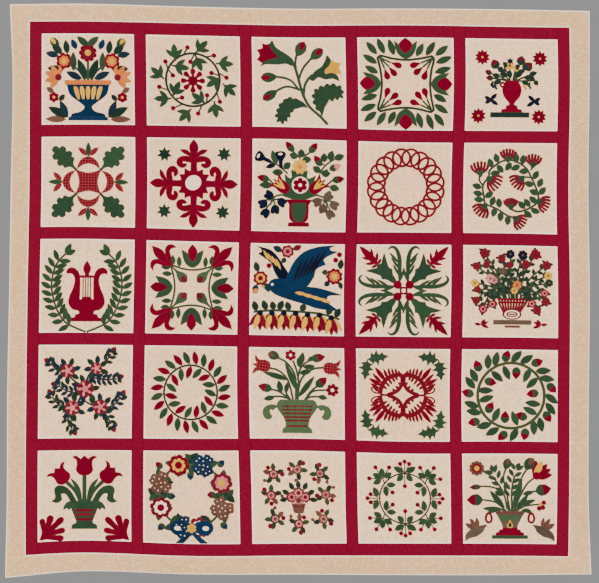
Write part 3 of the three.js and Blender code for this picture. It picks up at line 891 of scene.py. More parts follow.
def patchCotton(name):
    light, dark, kind = cloths[name]
    finish = Finish("patch_" + name)
    place, u, v = finish.layout("cloth")
    body = finish.body()
    tone = finish.attribute("tone")
    rim = finish.attribute("rim")
    paleMottle = finish.clamp(finish.noise(body, 34, 4) * 0.9 + tone * 0.5 - 0.25)
    colour = finish.mix(paleMottle, dark, light)
    if kind == "dots":
        sockets = {"Vector": place, "Scale": patchLook["dotScale"]}
        spots = finish.add("ShaderNodeTexVoronoi", {"feature": "F1"}, sockets, out="Distance")
        dots = finish.clamp((spots < patchLook["dotSize"]) * patchLook["dotShare"])
        colour = finish.mix(dots, colour, dark)
    if kind == "plaid":
        upright, level = (lineNear(finish, w, patchLook["plaid"], patchLook["barWidth"]) for w in (u, v))
        colour = finish.mix(finish.clamp(upright + level) * patchLook["barShare"], light, dark)
    # painted shade darkens the turned edge of each patch
    colour = finish.mix(finish.clamp((1 - rim) * patchLook["rimShade"]), colour, dark)
    worn = finish.clamp((1 - rim) * finish.noise(body, 150, 3) * patchLook["worn"])
    colour = finish.mix(worn, colour, groundTones["dark"])
    height = wovenHeight(finish, u, v, weave["thread"]) * weave["height"]
    return finishCloth(finish, colour, height)


clothBook = {}


def clothFor(name):
    if name not in clothBook:
        clothBook[name] = patchCotton(name)
    return clothBook[name]


# Outline drawing. A point is (x, y) or, where a corner stays sharp, (x, y, 1).

drawing = {  # in units
    "step": 2.0,  # along a rim
    "stem": 1.7,  # stems, leaves and all patches are cut a little full
    "leaf": 0.7,
    "full": 0.45,
}


def rounded(points, closed=True, step=None):
    step = step or drawing["step"]
    count = len(points)
    spots = np.array([p[:2] for p in points], float)
    sharp = [len(p) > 2 for p in points]
    out = []
    last = count if closed else count - 1
    for k in range(last):
        a, b = spots[k], spots[(k + 1) % count]
        reach = np.hypot(*(b - a))
        if reach < 1e-6:
            continue
        way = (b - a) / reach
        tangents = []
        for end in (k, (k + 1) % count):
            isEnd = not closed and end in (0, count - 1)
            before, after = spots[end - 1], spots[(end + 1) % count]
            chord = after - before
            size = np.hypot(*chord)
            tangents.append(way if sharp[end] or isEnd or size < 1e-6 else chord / size)
        steps = max(1, math.ceil(reach / step))
        out += [hermite(n / steps, a, b, *tangents, reach) for n in range(steps)]
    if not closed:
        out.append(spots[-1])
    return np.array(out)


def turnedBy(points, degrees, x=0.0, y=0.0, scale=1.0):
    c, s = math.cos(math.radians(degrees)), math.sin(math.radians(degrees))
    points = np.asarray(points, float)
    return np.column_stack([
        x + scale * (points[:, 0] * c - points[:, 1] * s),
        y + scale * (points[:, 0] * s + points[:, 1] * c),
    ])


def patch(line, cloth, level=1, grain=0.0, width=None, closed=True):
    line = np.asarray(line, float)
    return {"line": line, "cloth": cloth, "level": level, "grain": grain, "width": width, "closed": closed}


def shape(points, cloth, level=1, place=(0, 0, 0), scale=1.0):
    x, y, turn = place
    line = rounded([(p[0] * scale, p[1] * scale, *p[2:]) for p in points])
    return [patch(turnedBy(line, turn, x, y), cloth, level, turn)]


def twoSided(half):
    # a shape alike on both sides of its length, from the points of its upper side
    back = [(p[0], -p[1], *p[2:]) for p in reversed(half) if p[1] != 0]
    return [*half, *back]


def band(points, width, cloth="green", level=0, closed=False):
    return [patch(rounded(points, closed), cloth, level, 0, width + drawing["stem"], closed)]


def moved(patches, x=0, y=0, turn=0):
    return [{**p, "line": turnedBy(p["line"], turn, x, y), "grain": p["grain"] + turn} for p in patches]


def flipped(patches):
    return [{**p, "line": p["line"] * (-1, 1), "grain": 180 - p["grain"]} for p in patches]


def upended(patches):
    return [{**p, "line": p["line"] * (1, -1), "grain": -p["grain"]} for p in patches]


def bothSides(patches):
    return [*patches, *flipped(patches)]


def each(make, *rows):
    # the same kind of patch for each row of values
    return [p for row in rows for p in make(*row)]


def sideways(line, closed):
    # at each point of a line, one step to its left
    if closed:
        way = np.roll(line, -1, axis=0) - np.roll(line, 1, axis=0)
    else:
        way = np.vstack([line[1] - line[0], line[2:] - line[:-2], line[-1] - line[-2]])
    way /= np.maximum(np.hypot(way[:, 0], way[:, 1]), 1e-9)[:, None]
    return np.column_stack([-way[:, 1], way[:, 0]])


def circle(count, radius, stretch=1.0, x=0, y=0):
    turns = [k * 2 * math.pi / count for k in range(count)]
    return [(x + radius * math.cos(a), y + radius * stretch * math.sin(a)) for a in turns]


def around(count, make):
    return [p for k in range(count) for p in moved(make(k), turn=k * 360 / count)]


def disc(x, y, radius, cloth, level=2, stretch=1.0, turn=0):
    count = max(8, round(radius * 2 * math.pi / drawing["step"]))
    return [patch(turnedBy(circle(count, radius, stretch), turn, x, y), cloth, level, turn)]


def lobes(x, y, radius, count, depth, cloth, level=1, turn=0):
    # a flower with rounded lobes
    steps = count * 6
    line = []
    for k in range(steps):
        angle = k * 2 * math.pi / steps
        r = radius * (1 - depth + depth * abs(math.sin(count * angle / 2)) ** 0.7)
        line.append((r * math.cos(angle), r * math.sin(angle)))
    return [patch(turnedBy(line, turn, x, y), cloth, level, turn)]


def star(x, y, radius, count, inner, cloth, level=1):
    points = []
    for k in range(count):
        for r, half in ((radius, 0), (radius * inner, 0.5)):
            angle = (k + half) * 2 * math.pi / count
            points.append((r * math.cos(angle), r * math.sin(angle), 1))
    return shape(points, cloth, level, (x, y, 90))


def ring(x, y, radius, width, cloth="green", level=0):
    count = max(12, round(radius * 2 * math.pi / 3.2))
    return [patch(circle(count, radius, 1.0, x, y), cloth, level, 0, width + drawing["stem"], True)]


def leaf(x, y, turn, length, width, cloth="green", level=1):
    # a pointed leaf from its base
    count = max(4, round(length / 3.4))
    width += drawing["leaf"]
    upper, lower = [], []
    for k in range(count + 1):
        t = k / count
        half = width / 2 * math.sin(math.pi * t**0.92) ** 0.85 if 0 < k < count else 0
        upper.append((length * t, half))
        lower.append((length * t, -half))
    return [patch(turnedBy(lower + upper[-2:0:-1], turn, x, y), cloth, level, turn)]


def wayTo(x, y, tipX, tipY):
    return math.hypot(tipX - x, tipY - y), math.degrees(math.atan2(tipY - y, tipX - x))


def leafTo(x, y, tipX, tipY, width, cloth="green", level=1):
    length, turn = wayTo(x, y, tipX, tipY)
    return leaf(x, y, turn, length, width, cloth, level)


def drop(x, y, turn, length, width, cloth="red", level=1):
    # a teardrop bud, point first
    half = [(0, 0, 1), (0.3, 0.2), (0.68, 0.5), (0.95, 0.3), (1.0, 0)]
    return shape(twoSided([(a * length, b * width, *r) for a, b, *r in half]), cloth, level, (x, y, turn))


def vessel(profile, cloth, level=1, x=0, y=0):
    # from heights and half widths of one side; a third value keeps a corner
    right = [(half, height, *rest) for height, half, *rest in profile]
    left = [(-half, height, *rest) for height, half, *rest in reversed(profile)]
    return shape(right + left, cloth, level, (x, y, 0))


print("block patterns")


def wayOf(degrees):
    return math.cos(math.radians(degrees)), math.sin(math.radians(degrees))


def onRing(x, y, radius, degrees):
    c, s = wayOf(degrees)
    return x + radius * c, y + radius * s


def leafMid(x, y, turn, length, width, cloth="green", level=1):
    # a leaf placed by its middle
    c, s = wayOf(turn)
    return leaf(x - length / 2 * c, y - length / 2 * s, turn, length, width, cloth, level)


def leafPairs(path, gap, start, length, width, cloth="green", spread=46, end=6):
    # leaves in pairs along a stem, evenly spaced
    line = rounded(path, False, 1.0)
    along = np.concatenate([[0], np.cumsum(np.hypot(*np.diff(line, axis=0).T))])
    out = []
    for reach in np.arange(start, along[-1] - end, gap):
        k = int(np.searchsorted(along, reach))
        dx, dy = line[min(k + 2, len(line) - 1)] - line[max(k - 2, 0)]
        turn = math.degrees(math.atan2(dy, dx))
        for way in (-spread, spread):
            out += leaf(*onRing(*line[k], 1.8, turn + way), turn + way, length, width, cloth)
    return out


def lensBud(x, y, turn, length, width, tip="red"):
    # a closed bud: green all round, with its colour showing down the middle
    outer = [(0, 0), (0.14, 0.28), (0.45, 0.5), (0.8, 0.4), (0.97, 0.12, 1)]
    inner = [(0.36, 0, 1), (0.56, 0.2), (0.82, 0.22), (1.02, 0, 1)]
    return each(
        sized, (outer, "green", 1, x, y, turn, length, width),
        (inner, tip, 2, x, y, turn, length, width))


def sized(half, cloth, level, x, y, turn, length, width):
    # a two-sided shape given for a length and a width of 1
    return shape(twoSided([(p[0] * length, p[1] * width, *p[2:]) for p in half]), cloth, level, (x, y, turn))


def cupBud(x, y, turn, length, width, tip="red", calyx="green", level=1):
    # an opening bud: a pointed tip over a toothed cup
    petal = [(0.1, 0), (0.3, 0.4), (0.64, 0.44), (1.02, 0, 1)]
    cup = [(0, 0, 1), (0.1, 0.27), (0.3, 0.48), (0.56, 0.46, 1), (0.42, 0.3, 1), (0.54, 0.14, 1), (0.4, 0, 1)]
    return each(
        sized, (petal, tip, level, x, y, turn, length, width),
        (cup, calyx, level + 1, x, y, turn, length, width))


def flaredTulip(x, y, turn, size):
    # a round tulip whose outer petals turn out at the tips; x and y are its base
    half = [
        (0, 0), (0.05, 0.24), (0.26, 0.42), (0.58, 0.38), (0.8, 0.42), (0.96, 0.64, 1), (1.0, 0.44),
        (0.93, 0.3), (0.84, 0.2, 1), (0.93, 0.1), (1.02, 0, 1)]
    return shape(twoSided(half), "red", 1, (x, y, turn), size)


def petalFan(x, y, turn, length, count, spread, width, cloths, level=1):
    out = []
    for k in range(count):
        share = k / (count - 1) - 0.5
        size = length * (1 - 0.12 * abs(share))
        out += leaf(x, y, turn + share * spread, size, width, cloths[k % len(cloths)], level + k % 2)
    return out


def finger(x, y, tipX, tipY, narrow, wide, cloth, level=1):
    # a rounded finger from a narrow root
    length, turn = wayTo(x, y, tipX, tipY)
    half = [
        (0, narrow / 2, 1), (length * 0.6, wide * 0.46), (length * 0.86, wide * 0.5),
        (length * 0.98, wide * 0.26), (length, 0)]
    return shape(twoSided(half), cloth, level, (x, y, turn))


def bloom(x, y, radius, cloths, lobesOf=8, depth=0.2, level=1, turn=0):
    # a round flower in two or three rings of cloth
    shares = (1, 0.66, 0.34) if len(cloths) > 2 else (1, 0.28)
    out = []
    for k, cloth in enumerate(cloths):
        r = radius * shares[k]
        if k and k == len(cloths) - 1:
            out += disc(x, y, r, cloth, level + k)
        else:
            out += lobes(x, y, r, lobesOf, depth, cloth, level + k, turn)
    return out


def compote():
    # a footed bowl of flowers in plain blue, red, orange and yellow
    out = vessel([
        (-84, 38, 1), (-78, 36), (-72, 16), (-62, 8), (-52, 18), (-34, 40), (-12, 47), (-4, 49, 1)
    ], "blue")
    for x in (-28, -14, 0, 14, 28):
        out += shape([(x - 4, -18), (x + 4, -18), (x * 0.74 + 2.5, -44), (x * 0.74 - 2.5, -44)], "yellow", 2)
    out += each(vessel, ([(-12, 50, 1), (-3, 52, 1)], "orange", 3), ([(-91, 44, 1), (-84, 42, 1)], "blue", 2))
    out += band([(0, -4), (0, 44)], 3.4) + bothSides(band([(6, -4), (22, 20), (46, 34)], 3.0))
    out += bloom(0, 58, 20, ("red", "rose", "yellow"), 9)
    side = bloom(53, 40, 18, ("red", "orange", "yellow"), 7)
    side += petalFan(66, 4, 22, 32, 5, 150, 12, ("orange", "orange")) + disc(66, 4, 7, "rose", 3)
    side += each(
        leafTo, (4, 0, 22, 44, 16, "greenDark"), (14, 0, 48, 16, 14, "teal"), (32, 18, 33, 60, 13),
        (58, 22, 90, 24, 14, "greenDark"), (58, 56, 80, 78, 15, "greenDark"), (-2, 72, 24, 94, 14),
        (66, 52, 94, 58, 13, "teal"), (46, 56, 50, 86, 13, "greenDark"), (26, 66, 36, 88, 12, "blue"))
    side += lensBud(66, 70, 52, 26, 17, "yellow") + band([(52, 28), (60, 16), (66, 8)], 2.2)
    side += each(
        leafTo, (44, -84, 88, -62, 17, "greenDark"), (46, -84, 62, -48, 14, "teal"),
        (50, -89, 94, -88, 13, "brown"))
    side += bloom(76, -40, 11, ("red", "yellow"), 6)
    side += each(leafTo, (64, -48, 52, -34, 10, "greenDark"), (76, -30, 92, -18, 10, "brown"))
    return out + bothSides(side)


def ivyLeaf(x, y, turn, length):
    # three pointed lobes
    half = [
        (0, 0.03, 1), (0.14, 0.08), (0.26, 0.28), (0.44, 0.43), (0.66, 0.52, 1), (0.6, 0.33), (0.52, 0.16, 1),
        (0.64, 0.17), (0.8, 0.13), (1, 0, 1)]
    return shape([(a * length, b * length, *r) for a, b, *r in twoSided(half)], "green", 1, (x, y, turn))


def ivyWreath():
    out = ring(-1, 2, 59, 3.2, "greenDark")
    outer = [(-41, 63), (19, 76), (70, 39), (79, -19), (48, -64), (-19, -77), (-68, -41), (-79, 16)]
    inner = [(-27, 30), (12, 39), (44, -2), (11, -39), (-38, -19)]
    berries = [(-12, 74), (46, 57), (73, 8), (58, -46), (10, -73), (-45, -62), (-75, -15), (-61, 42)]
    within = [(-6, 42), (40, 18), (30, -32), (-25, -38), (-45, 11)]
    for (x, y), slant in [(at, -30) for at in outer] + [(at, 218) for at in inner]:
        turn = math.degrees(math.atan2(y, x)) + slant
        c, s = wayOf(turn)
        out += ivyLeaf(x - 17 * c, y - 17 * s, turn, 36)
        out += band([(x - 20 * c, y - 20 * s), (x - 8 * c, y - 8 * s)], 2.4)
    for group, lean in ((berries, 0.2), (within, -0.2)):
        for x, y in group:
            angle = math.atan2(y - 2, x + 1) + lean
            onVine = (-1 + 59 * math.cos(angle), 2 + 59 * math.sin(angle))
            out += band([(x, y), onVine], 1.8) + disc(x, y, 4.8, "red", 1)
    spoke = [(5, 2.6), (14, 2.4), (19, 5), (24.5, 5, 1), (26.5, 0)]
    out += moved(around(8, lambda k: shape(twoSided(spoke), "red")), -1) + disc(-1, 0, 10, "red")
    return out


def trumpetSpray():
    out = each(
        band, ([(62, -93), (45, -75), (23, -55), (10, -32), (3, -10), (-3, 13), (-9, 34), (-16, 48)], 4.6),
        ([(9, -34), (12, -8), (20, 8), (30, 18)], 4.2), ([(-6, 21), (-8, 44), (-5, 62)], 3.4),
        ([(-1, 6), (9, 32), (28, 55)], 3.4), ([(0, -18), (-20, 5), (-52, 13)], 3.4),
        ([(3, -17), (-28, -10), (-54, -22)], 3.4))
    redPetals = [
        (-24, 48, 1), (-52, 72), (-58, 90, 1), (-69, 84), (-80, 86, 1), (-80, 76), (-92, 72, 1), (-86, 60),
        (-92, 50, 1), (-78, 42), (-48, 44)]
    out += each(
        shape, (redPetals, "red"),
        ([
            (-13, 50), (-26, 62), (-42, 72), (-52, 80), (-58, 94, 1), (-64, 84), (-60, 72), (-50, 62),
            (-46, 56, 1), (-60, 52), (-76, 46), (-85, 36, 1), (-74, 40), (-46, 40), (-28, 42), (-14, 38)
        ], "green", 2),
        ([
            (56, 22, 1), (62, 42), (70, 52, 1), (79, 46), (92, 44, 1), (87, 34), (93, 22, 1), (80, 20)
        ], "yellow"),
        ([
            (24, 8), (36, 26), (50, 36), (58, 50), (62, 62, 1), (70, 50), (66, 38), (56, 28), (58, 20),
            (72, 22), (84, 16), (88, 4, 1), (74, 10), (58, 8), (42, 12), (30, 4)
        ], "green", 2))
    out += each(
        lensBud, (-4, 60, 62, 35, 23), (27, 53, 42, 34, 21), (-50, 12, 185, 34, 21), (-50, -20, 214, 36, 20))
    return out + scallopedLeaves()


def scallopedLeaves():
    # two broad drooping leaves with scalloped rims
    left = [
        (19, -57, 1), (10, -46), (0, -40), (-8, -36), (-14, -38, 1), (-20, -33), (-27, -37, 1), (-34, -39),
        (-37, -46, 1), (-45, -50), (-44, -58, 1), (-51, -63), (-47, -70, 1), (-54, -76), (-47, -81, 1),
        (-50, -89), (-42, -88, 1), (-37, -94), (-33, -86, 1), (-27, -88), (-27, -79, 1), (-20, -77),
        (-21, -69, 1), (-14, -66), (-12, -60, 1), (-3, -58), (7, -55)]
    right = [
        (49, -75, 1), (44, -64), (36, -60), (36, -51, 1), (29, -45), (34, -37, 1), (27, -30), (34, -24, 1),
        (33, -15), (42, -15, 1), (46, -7), (54, -9, 1), (61, -2), (68, -6, 1), (76, -1), (82, -8, 1),
        (91, -6), (92, -14, 1), (98, -20), (93, -25, 1), (96, -33), (88, -31, 1), (84, -38), (78, -33, 1),
        (72, -41), (66, -36, 1), (61, -46), (56, -54), (53, -64)]
    return each(shape, (left, "green"), (right, "green"))


def cuppedTulip(low, high, wide, tall, inner):
    # a tulip standing on a frame side: green cup with two points, and a red heart
    mid = (low + high) / 2
    cup = [
        (0, low), (wide * 0.56, low + 7), (wide * 0.84, mid), (wide, high, 1), (inner + 2, high - 8),
        (inner - 1, mid + 2), (0, low + 12)]
    cup += [
        (-inner + 1, mid + 2), (-inner - 2, high - 8), (-wide, high, 1), (-wide * 0.84, mid),
        (-wide * 0.56, low + 7)]
    heart = [
        (0, tall, 1), (inner * 0.62, tall - 6), (inner + 1, tall - 14), (inner - 2, mid), (0, low + 9),
        (-inner + 2, mid), (-inner - 1, tall - 14), (-inner * 0.62, tall - 6)]
    return each(shape, (heart, "red"), (cup, "green", 2))


def fourSides(side):
    # a closed outline from the points of its upper side
    out = []
    for k in range(4):
        out += [(*at, *p[2:]) for p, at in zip(side, turnedBy([p[:2] for p in side], -90 * k))]
    return out


def tulipSquare():
    side = [(-61, 55), (-55, 60.5), (-30, 55), (0, 52), (30, 55), (55, 60.5)]
    out = band(fourSides(side), 3.2, "greenDark", closed=True)

    def oneSide(k):
        made = cuppedTulip(55, 93, 24.5, 100, 13)
        for way in ((23, 60, 38, 88), (44, 62, 63, 92), (64, 62, 91, 84), (65, 46, 99, 60), (62, 25, 97, 36)):
            made += leafTo(*way, 13)
        for x, y, turn in ((33, 46, 198), (37, 37, 219), (46, 33, 250)):
            made += band([(57, 56), (x, y)], 2.2) + drop(x, y, turn, 25, 12.5)
        return made

    return out + around(4, oneSide)


def redUrn():
    out = each(
        vessel,
        ([
            (-60, 23, 1), (-54, 22, 1), (-53, 13, 1), (-46, 12, 1), (-43, 5), (-38, 7), (-24, 18), (-9, 21),
            (2, 17), (9, 13, 1)
        ], "red"),
        ([(-71, 43, 1), (-60.5, 43, 1)], "greenDark", 1, -4))
    out += ring(-21, 0, 4.6, 2.6, "red", 1)
    for x, y in (
        (-36, 40), (21, 50), (34, 38), (-50, 26), (-46, 15), (48, 24), (50, 10), (-18, 40), (12, 44)
    ):
        out += band([(x * 0.16, 8), (x * 0.5, y * 0.5 + 4), (x, y)], 1.9, "greenDark")
    for x, y, turn, size in ((-33, 36, 118, 21), (19, 44, 80, 20), (29, 34, 42, 21)):
        out += cupBud(x, y, turn, size, size * 0.95, "rose", "greenDark")
    out += each(
        cupBud, (-46, 24, 155, 15, 11, "red", "greenDark"), (-42, 14, 175, 16, 11, "red", "greenDark"))
    out += each(bloom, (-5, 42, 9, ("yellow", "greenDark"), 6, 0.3), (10, 36, 7, ("yellow", "red"), 6, 0.3))
    out += star(-4, 52, 8, 6, 0.5, "navy", 2)
    for way in (
        (4, 18, 24, 26), (10, 24, 30, 34), (38, 22, 56, 28), (38, 18, 52, 10), (50, 10, 58, 0),
        (-8, 20, -28, 24), (-14, 26, -30, 36), (-26, 18, -44, 22), (-8, 38, -20, 50), (8, 30, 14, 46),
        (24, 34, 34, 48), (-24, 8, -42, 4), (22, 8, 38, 2), (-4, 14, -6, 34), (-30, 28, -22, 40),
        (28, 14, 44, 20)
    ):
        out += leafTo(*way, 10, "greenDark")
    for x, y, cloth in ((-45, 0, "navy"), (-38, -3, "blue"), (28, -3, "yellow"), (38, -1, "olive")):
        out += each(disc, (x, y, 3.4, cloth), (x + 3, y - 5, 2.6, cloth))
        out += leafTo(x, y, x + 2, y + 8, 4, "greenDark")
    for x, y in ((-66, 60), (63, 58), (-74, -68), (61, -70)):
        out += star(x, y, 17, 10, 0.68, "red") + disc(x, y, 2.6, "yellow")
    for x, y, way in ((-48, -33, 1), (51, -36, -1)):
        for turn, length in ((150, 15), (42, 20), (216, 14), (-32, 21)):
            out += leaf(x, y, turn if way > 0 else 180 - turn, length, 7.5, "navy")
        out += disc(x, y, 4.4, "navy")
    return out


def oakLeafReel():
    out = shape([
        (-26, 26, 1), (0, 20), (26, 26, 1), (20, 0), (26, -26, 1), (0, -20), (-26, -26, 1), (-20, 0)
    ], "redPlaid", 2)
    oak = [
        (0, 2.4, 1), (16, 3), (22, 7), (27, 15), (34, 14), (38, 20), (46, 19), (50, 13), (56, 18), (65, 15),
        (66, 8), (73, 7), (77, 0)]

    def quarter(k):
        crescent = [
            (-25, 29, 1), (-20, 44), (-11, 53), (0, 56), (11, 53), (20, 44), (25, 29, 1), (13, 38), (0, 41),
            (-13, 38)]
        made = shape(crescent, "redPlaid", 2) + band([(0, 55), (0, 66)], 2)
        made += leafTo(0, 58, 0, 88, 9.5, "green", 2)
        for way in (-1, 1):
            made += leafTo(way * 2, 59, way * 22, 77, 10, "redPlaid")
        return made

    out += each(around, (4, quarter), (4, lambda k: shape(twoSided(oak), "green", 1, (23, 23, 45))))
    return out


def fleurCross():
    def arm(k):
        made = each(
            shape, (twoSided([(60, 5, 1), (66, 6), (76, 9.5), (86, 8.5), (98, 0, 1)]), "red", 1, (0, 0, 90)),
            (twoSided([(18, 9, 1), (34, 6.8), (46, 6.8), (58, 9), (68, 5, 1)]), "red", 1, (0, 0, 90)))
        for way in (-1, 1):
            upper = [
                (way * 3, 56, 1), (way * 8, 68), (way * 18, 75), (way * 31, 75, 1), (way * 24, 68),
                (way * 14, 63)]
            lower = [
                (way * 3, 46, 1), (way * 8, 58), (way * 22, 61), (way * 35, 55), (way * 38, 44),
                (way * 31, 36), (way * 21, 36)]
            lower += [(way * 16, 43), (way * 25, 45), (way * 24, 49), (way * 15, 48)]
            made += each(shape, (upper, "red"), (lower, "red", 2))
        return made

    core = fourSides([(10, 28), (20, 32, 1), (20, 21, 1), (34, 20, 1), (28, 9)])
    out = around(4, arm) + shape(core, "red", 2) + moved(disc(0, 0, 18, "cream", 3, 0.9), -1, 2, 30)
    for x, y in ((-65, 64), (67, 66), (-65, -62), (65, -62)):
        out += star(x, y, 16, 7, 0.56, "greenDark")
    return out


def bellflowerPot():
    out = each(
        vessel, ([(-80, 11), (-74, 19), (-60, 21), (-41, 21, 1)], "red"),
        ([(-42, 21, 1), (-37, 24), (-31, 29, 1)], "red", 2), ([(-89, 23, 1), (-81, 22, 1)], "red"))
    out += shape([
        (-15, -38, 1), (15, -38, 1), (15, -58), (9, -76), (0, -79), (-9, -76), (-15, -58)
    ], "green", 3)
    mass = [
        (-14, -30, 1), (-40, -22, 1), (-24, -10), (-30, 4, 1), (-32, 24, 1), (-18, 16), (-16, 34), (16, 34),
        (18, 16), (36, 22, 1), (30, 4, 1), (24, -10)]
    out += shape([*mass, (42, -20, 1), (14, -30, 1)], "green") + star(1, 41, 18, 9, 0.72, "yellow", 2)
    out += each(disc, (1, 41, 5, "orange", 3), (2, 1, 18.5, "cream")) + lobes(2, 1, 16, 6, 0.25, "red", 3)
    out += disc(2, 1, 4, "cream", 4)
    for x, turn in ((-24, 140), (24, 40)):
        half = [(0, 0), (4, 9), (16, 12.5), (28, 12), (42, 18, 1), (36, 7), (33, 3, 1), (43, 0, 1)]
        out += shape(twoSided(half), "red", 2, (x, -14, turn))
        for slant in (-19, 0, 19):
            out += leaf(*onRing(x, -14, 10, turn), turn + slant, 27, 3.2, "yellow", 4)
    for x, y, turn, tip in (
        (-13, 74, 128, "red"), (22, 72, 52, "red"), (48, 44, 125, "red"), (72, 12, 12, "red"),
        (-66, 12, 168, "red"), (66, 36, 25, "pink")
    ):
        out += cupBud(x, y, turn, 27, 15, tip)
    stems = (
        ((1, 56), (0, 76)), ((4, 62), (22, 72)), ((0, 62), (-14, 74)), ((44, 28), (58, 46), (84, 64)),
        ((44, 28), (62, 36)), ((54, 46), (47, 50)), ((60, 2), (74, 14)), ((-56, 2), (-68, 14)),
        ((-26, 26), (-48, 44), (-70, 54)), ((-36, 34), (-40, 46)))
    for path in stems:
        out += band(list(path), 2.2)
    for way in (
        (-4, 62, -22, 68), (4, 62, 4, 80), (6, 56, 26, 58), (54, 52, 54, 72), (66, 56, 72, 78),
        (76, 60, 98, 68), (46, 30, 30, 42), (48, 26, 68, 28), (66, -2, 88, -6), (-50, 46, -60, 76),
        (-36, 28, -60, 28), (-34, 36, -20, 50), (-58, 0, -88, 0)
    ):
        out += leafTo(*way, 14)
    for x, y, turn in ((-70, 54, 155), (-41, 46, 92)):
        out += shape(twoSided([(-8, 2.6), (8, 4.4), (16, 9.5), (25, 10.5), (28, 0)]), "navy", 2, (x, y, turn))
        out += disc(*onRing(x, y, 22, turn), 2.6, "cream", 3, 2.0, turn)
    out += leafTo(-52, 46, -74, 38, 9, "navy", 2)
    bells = (
        ((-66, -22), "navy"), ((-79, -41), "navy"), ((-38, -37), "navy"), ((-73, -61), "navy"),
        ((-52, -53), "navy"))
    bells += (
        ((64, -22), "bell"), ((40, -35), "bell"), ((77, -42), "bell"), ((53, -50), "bell"),
        ((69, -62), "bell"))
    for way in (-1, 1):
        out += band([(way * 38, -20), (way * 54, -26), (way * 64, -44)], 2.4)
    for (x, y), cloth in bells:
        way = 1 if x > 0 else -1
        out += band([(way * 56, -32), (x, y + 8)], 1.8)
        turn = math.degrees(math.atan2(y + 30, x - way * 50)) + 90
        out += shape([
            (-9, -8, 1), (-8.6, 3), (-4, 9), (4, 9), (8.6, 3), (9, -8, 1), (4.5, -9.6), (0, -7, 1),
            (-4.5, -9.6)
        ], cloth, 2, (x, y, turn))
    return out


def ringChain():
    count = 20
    out = []
    for k in range(count):
        out += ring(*onRing(2, 1, 66, k * 360 / count + 9), 19, 3.3, "red", k % 2)
    return out


def thistleWreath():
    vine = [
        (8, -66), (-8, -60), (-26, -48), (-44, -40), (-54, -36), (-58, -16), (-60, 4), (-54, 16), (-47, 24),
        (-46, 38), (-34, 50), (-18, 60), (0, 63), (20, 56), (38, 42), (47, 24), (56, 6), (62, -12), (62, -28),
        (50, -40), (34, -48), (18, -52), (4, -48)]
    out = band(vine, 2.8)
    fans = [
        (-5, 62, 90, 28), (50, 50, 85, 29), (-66, 30, 95, 32), (-54, -38, 232, 32), (10, -66, -35, 30),
        (62, -28, -22, 30), (-48, 22, -38, 34), (28, 24, 222, 32), (2, -44, 92, 24)]
    for x, y, turn, size in fans:
        for k in range(6):
            slant = (k - 2.5) * 19
            bend = onRing(x, y, size * 0.6, turn + slant * 1.12)
            tip = onRing(x, y, size * 0.94, turn + slant * 0.84)
            out += band([(x, y), bend, tip], 3.9, "redPrint", 1)
        out += shape(twoSided([(-5, 0), (0, 5), (7, 7), (9, 0)]), "green", 3, (x, y, turn))
    for path in ([(46, 40), (50, 50)], [(-60, 6), (-68, 18), (-66, 30)], [(47, 24), (28, 26)]):
        out += band(path, 2.4)
    leaves = [
        (-44, 56, 110), (-31, 67, 105), (13, 67, 80), (28, 64, 85), (-22, 43, -50), (-4, 48, 235),
        (12, 46, 205), (30, 38, 185), (-33, 33, 5), (57, 30, 60), (67, 13, 65), (72, -5, 50), (42, 10, 165),
        (53, -8, 160), (-73, 4, 165), (-71, -12, 165), (-69, -26, 175), (-46, -15, 35), (-38, -29, 70),
        (-24, -33, 95), (51, -25, 140), (38, -32, 125), (26, -37, 130), (56, -50, -20), (40, -58, -40),
        (-35, -54, 250), (-21, -64, 265), (-5, -72, 265)]
    for spot in leaves:
        out += leafMid(*spot, 22, 12.5)
    return out


def lyre():
    right = [
        (34, -76, 1), (33, -69, 1), (26, -68), (23, -62), (16, -60), (17, -54), (30, -50), (39, -38),
        (37, -22), (30, -6), (26, 12), (30, 24), (36, 27), (44, 26, 1), (44, 33), (36, 39), (26, 37),
        (18, 28), (15, 14), (15, -20)]
    left = [(-p[0], *p[1:]) for p in reversed(right)]
    out = shape([*right, (14, -30), (8, -24, 1), (-8, -24, 1), (-14, -30), *left], "red")
    out += band([(-17, 20), (17, 20)], 3.4, "red", 2)
    out += vessel([(20, 3), (26, 4), (34, 7.5), (42, 7), (53, 0.6)], "red", 2)
    for x in (-8, -2.7, 2.7, 8):
        out += band([(x, 20), (x, -28)], 0.5, "red", 1)
    laurel = [
        (-1, -99), (-24, -90), (-46, -78), (-62, -56), (-73, -26), (-77, 4), (-72, 34), (-62, 54), (-48, 68)]
    branch = band(laurel, 2.6) + leafPairs(laurel, 15.2, 38, 26, 10.0, "green", 54, 8)
    branch += each(leaf, (-48, 68, 62, 26, 12), (-48, 68, 20, 24, 11))
    return out + bothSides(branch)


def lilySquare():
    side = [(-47.5, 44), (-44, 47), (-22, 41), (0, 38.5), (22, 41), (44, 47)]
    out = band(fourSides(side), 2.4, closed=True)

    def oneSide(k):
        made = cuppedTulip(44, 82, 24, 94, 9)
        for way in ((29, 45, 30, 68), (43, 49, 44, 70), (45, 29, 68, 30), (49, 43, 70, 44)):
            made += leafTo(*way, 9.5)
        made += shape(twoSided([(0, 3), (12, 4), (26, 9), (40, 9), (58, 0, 1)]), "red", 2, (48, 50, 45))
        curl = [
            (0, 1), (12, 3), (26, 8), (36, 16), (38, 26), (32, 34), (21, 37, 1), (27, 29), (27, 21), (20, 16),
            (8, 10)]
        for points in (curl, [(p[0], -p[1], *p[2:]) for p in curl]):
            made += shape(points, "red", 1, (46, 47, 45))
        made += shape(
            twoSided([(0, 1, 1), (14, 3), (26, 9), (36, 10), (43, 0)]), "greenPrint", 1, (44, 44, 225))
        made += disc(18, 18, 8, "rose", 2, 0.72, 45)
        return made

    return out + around(4, oneSide)


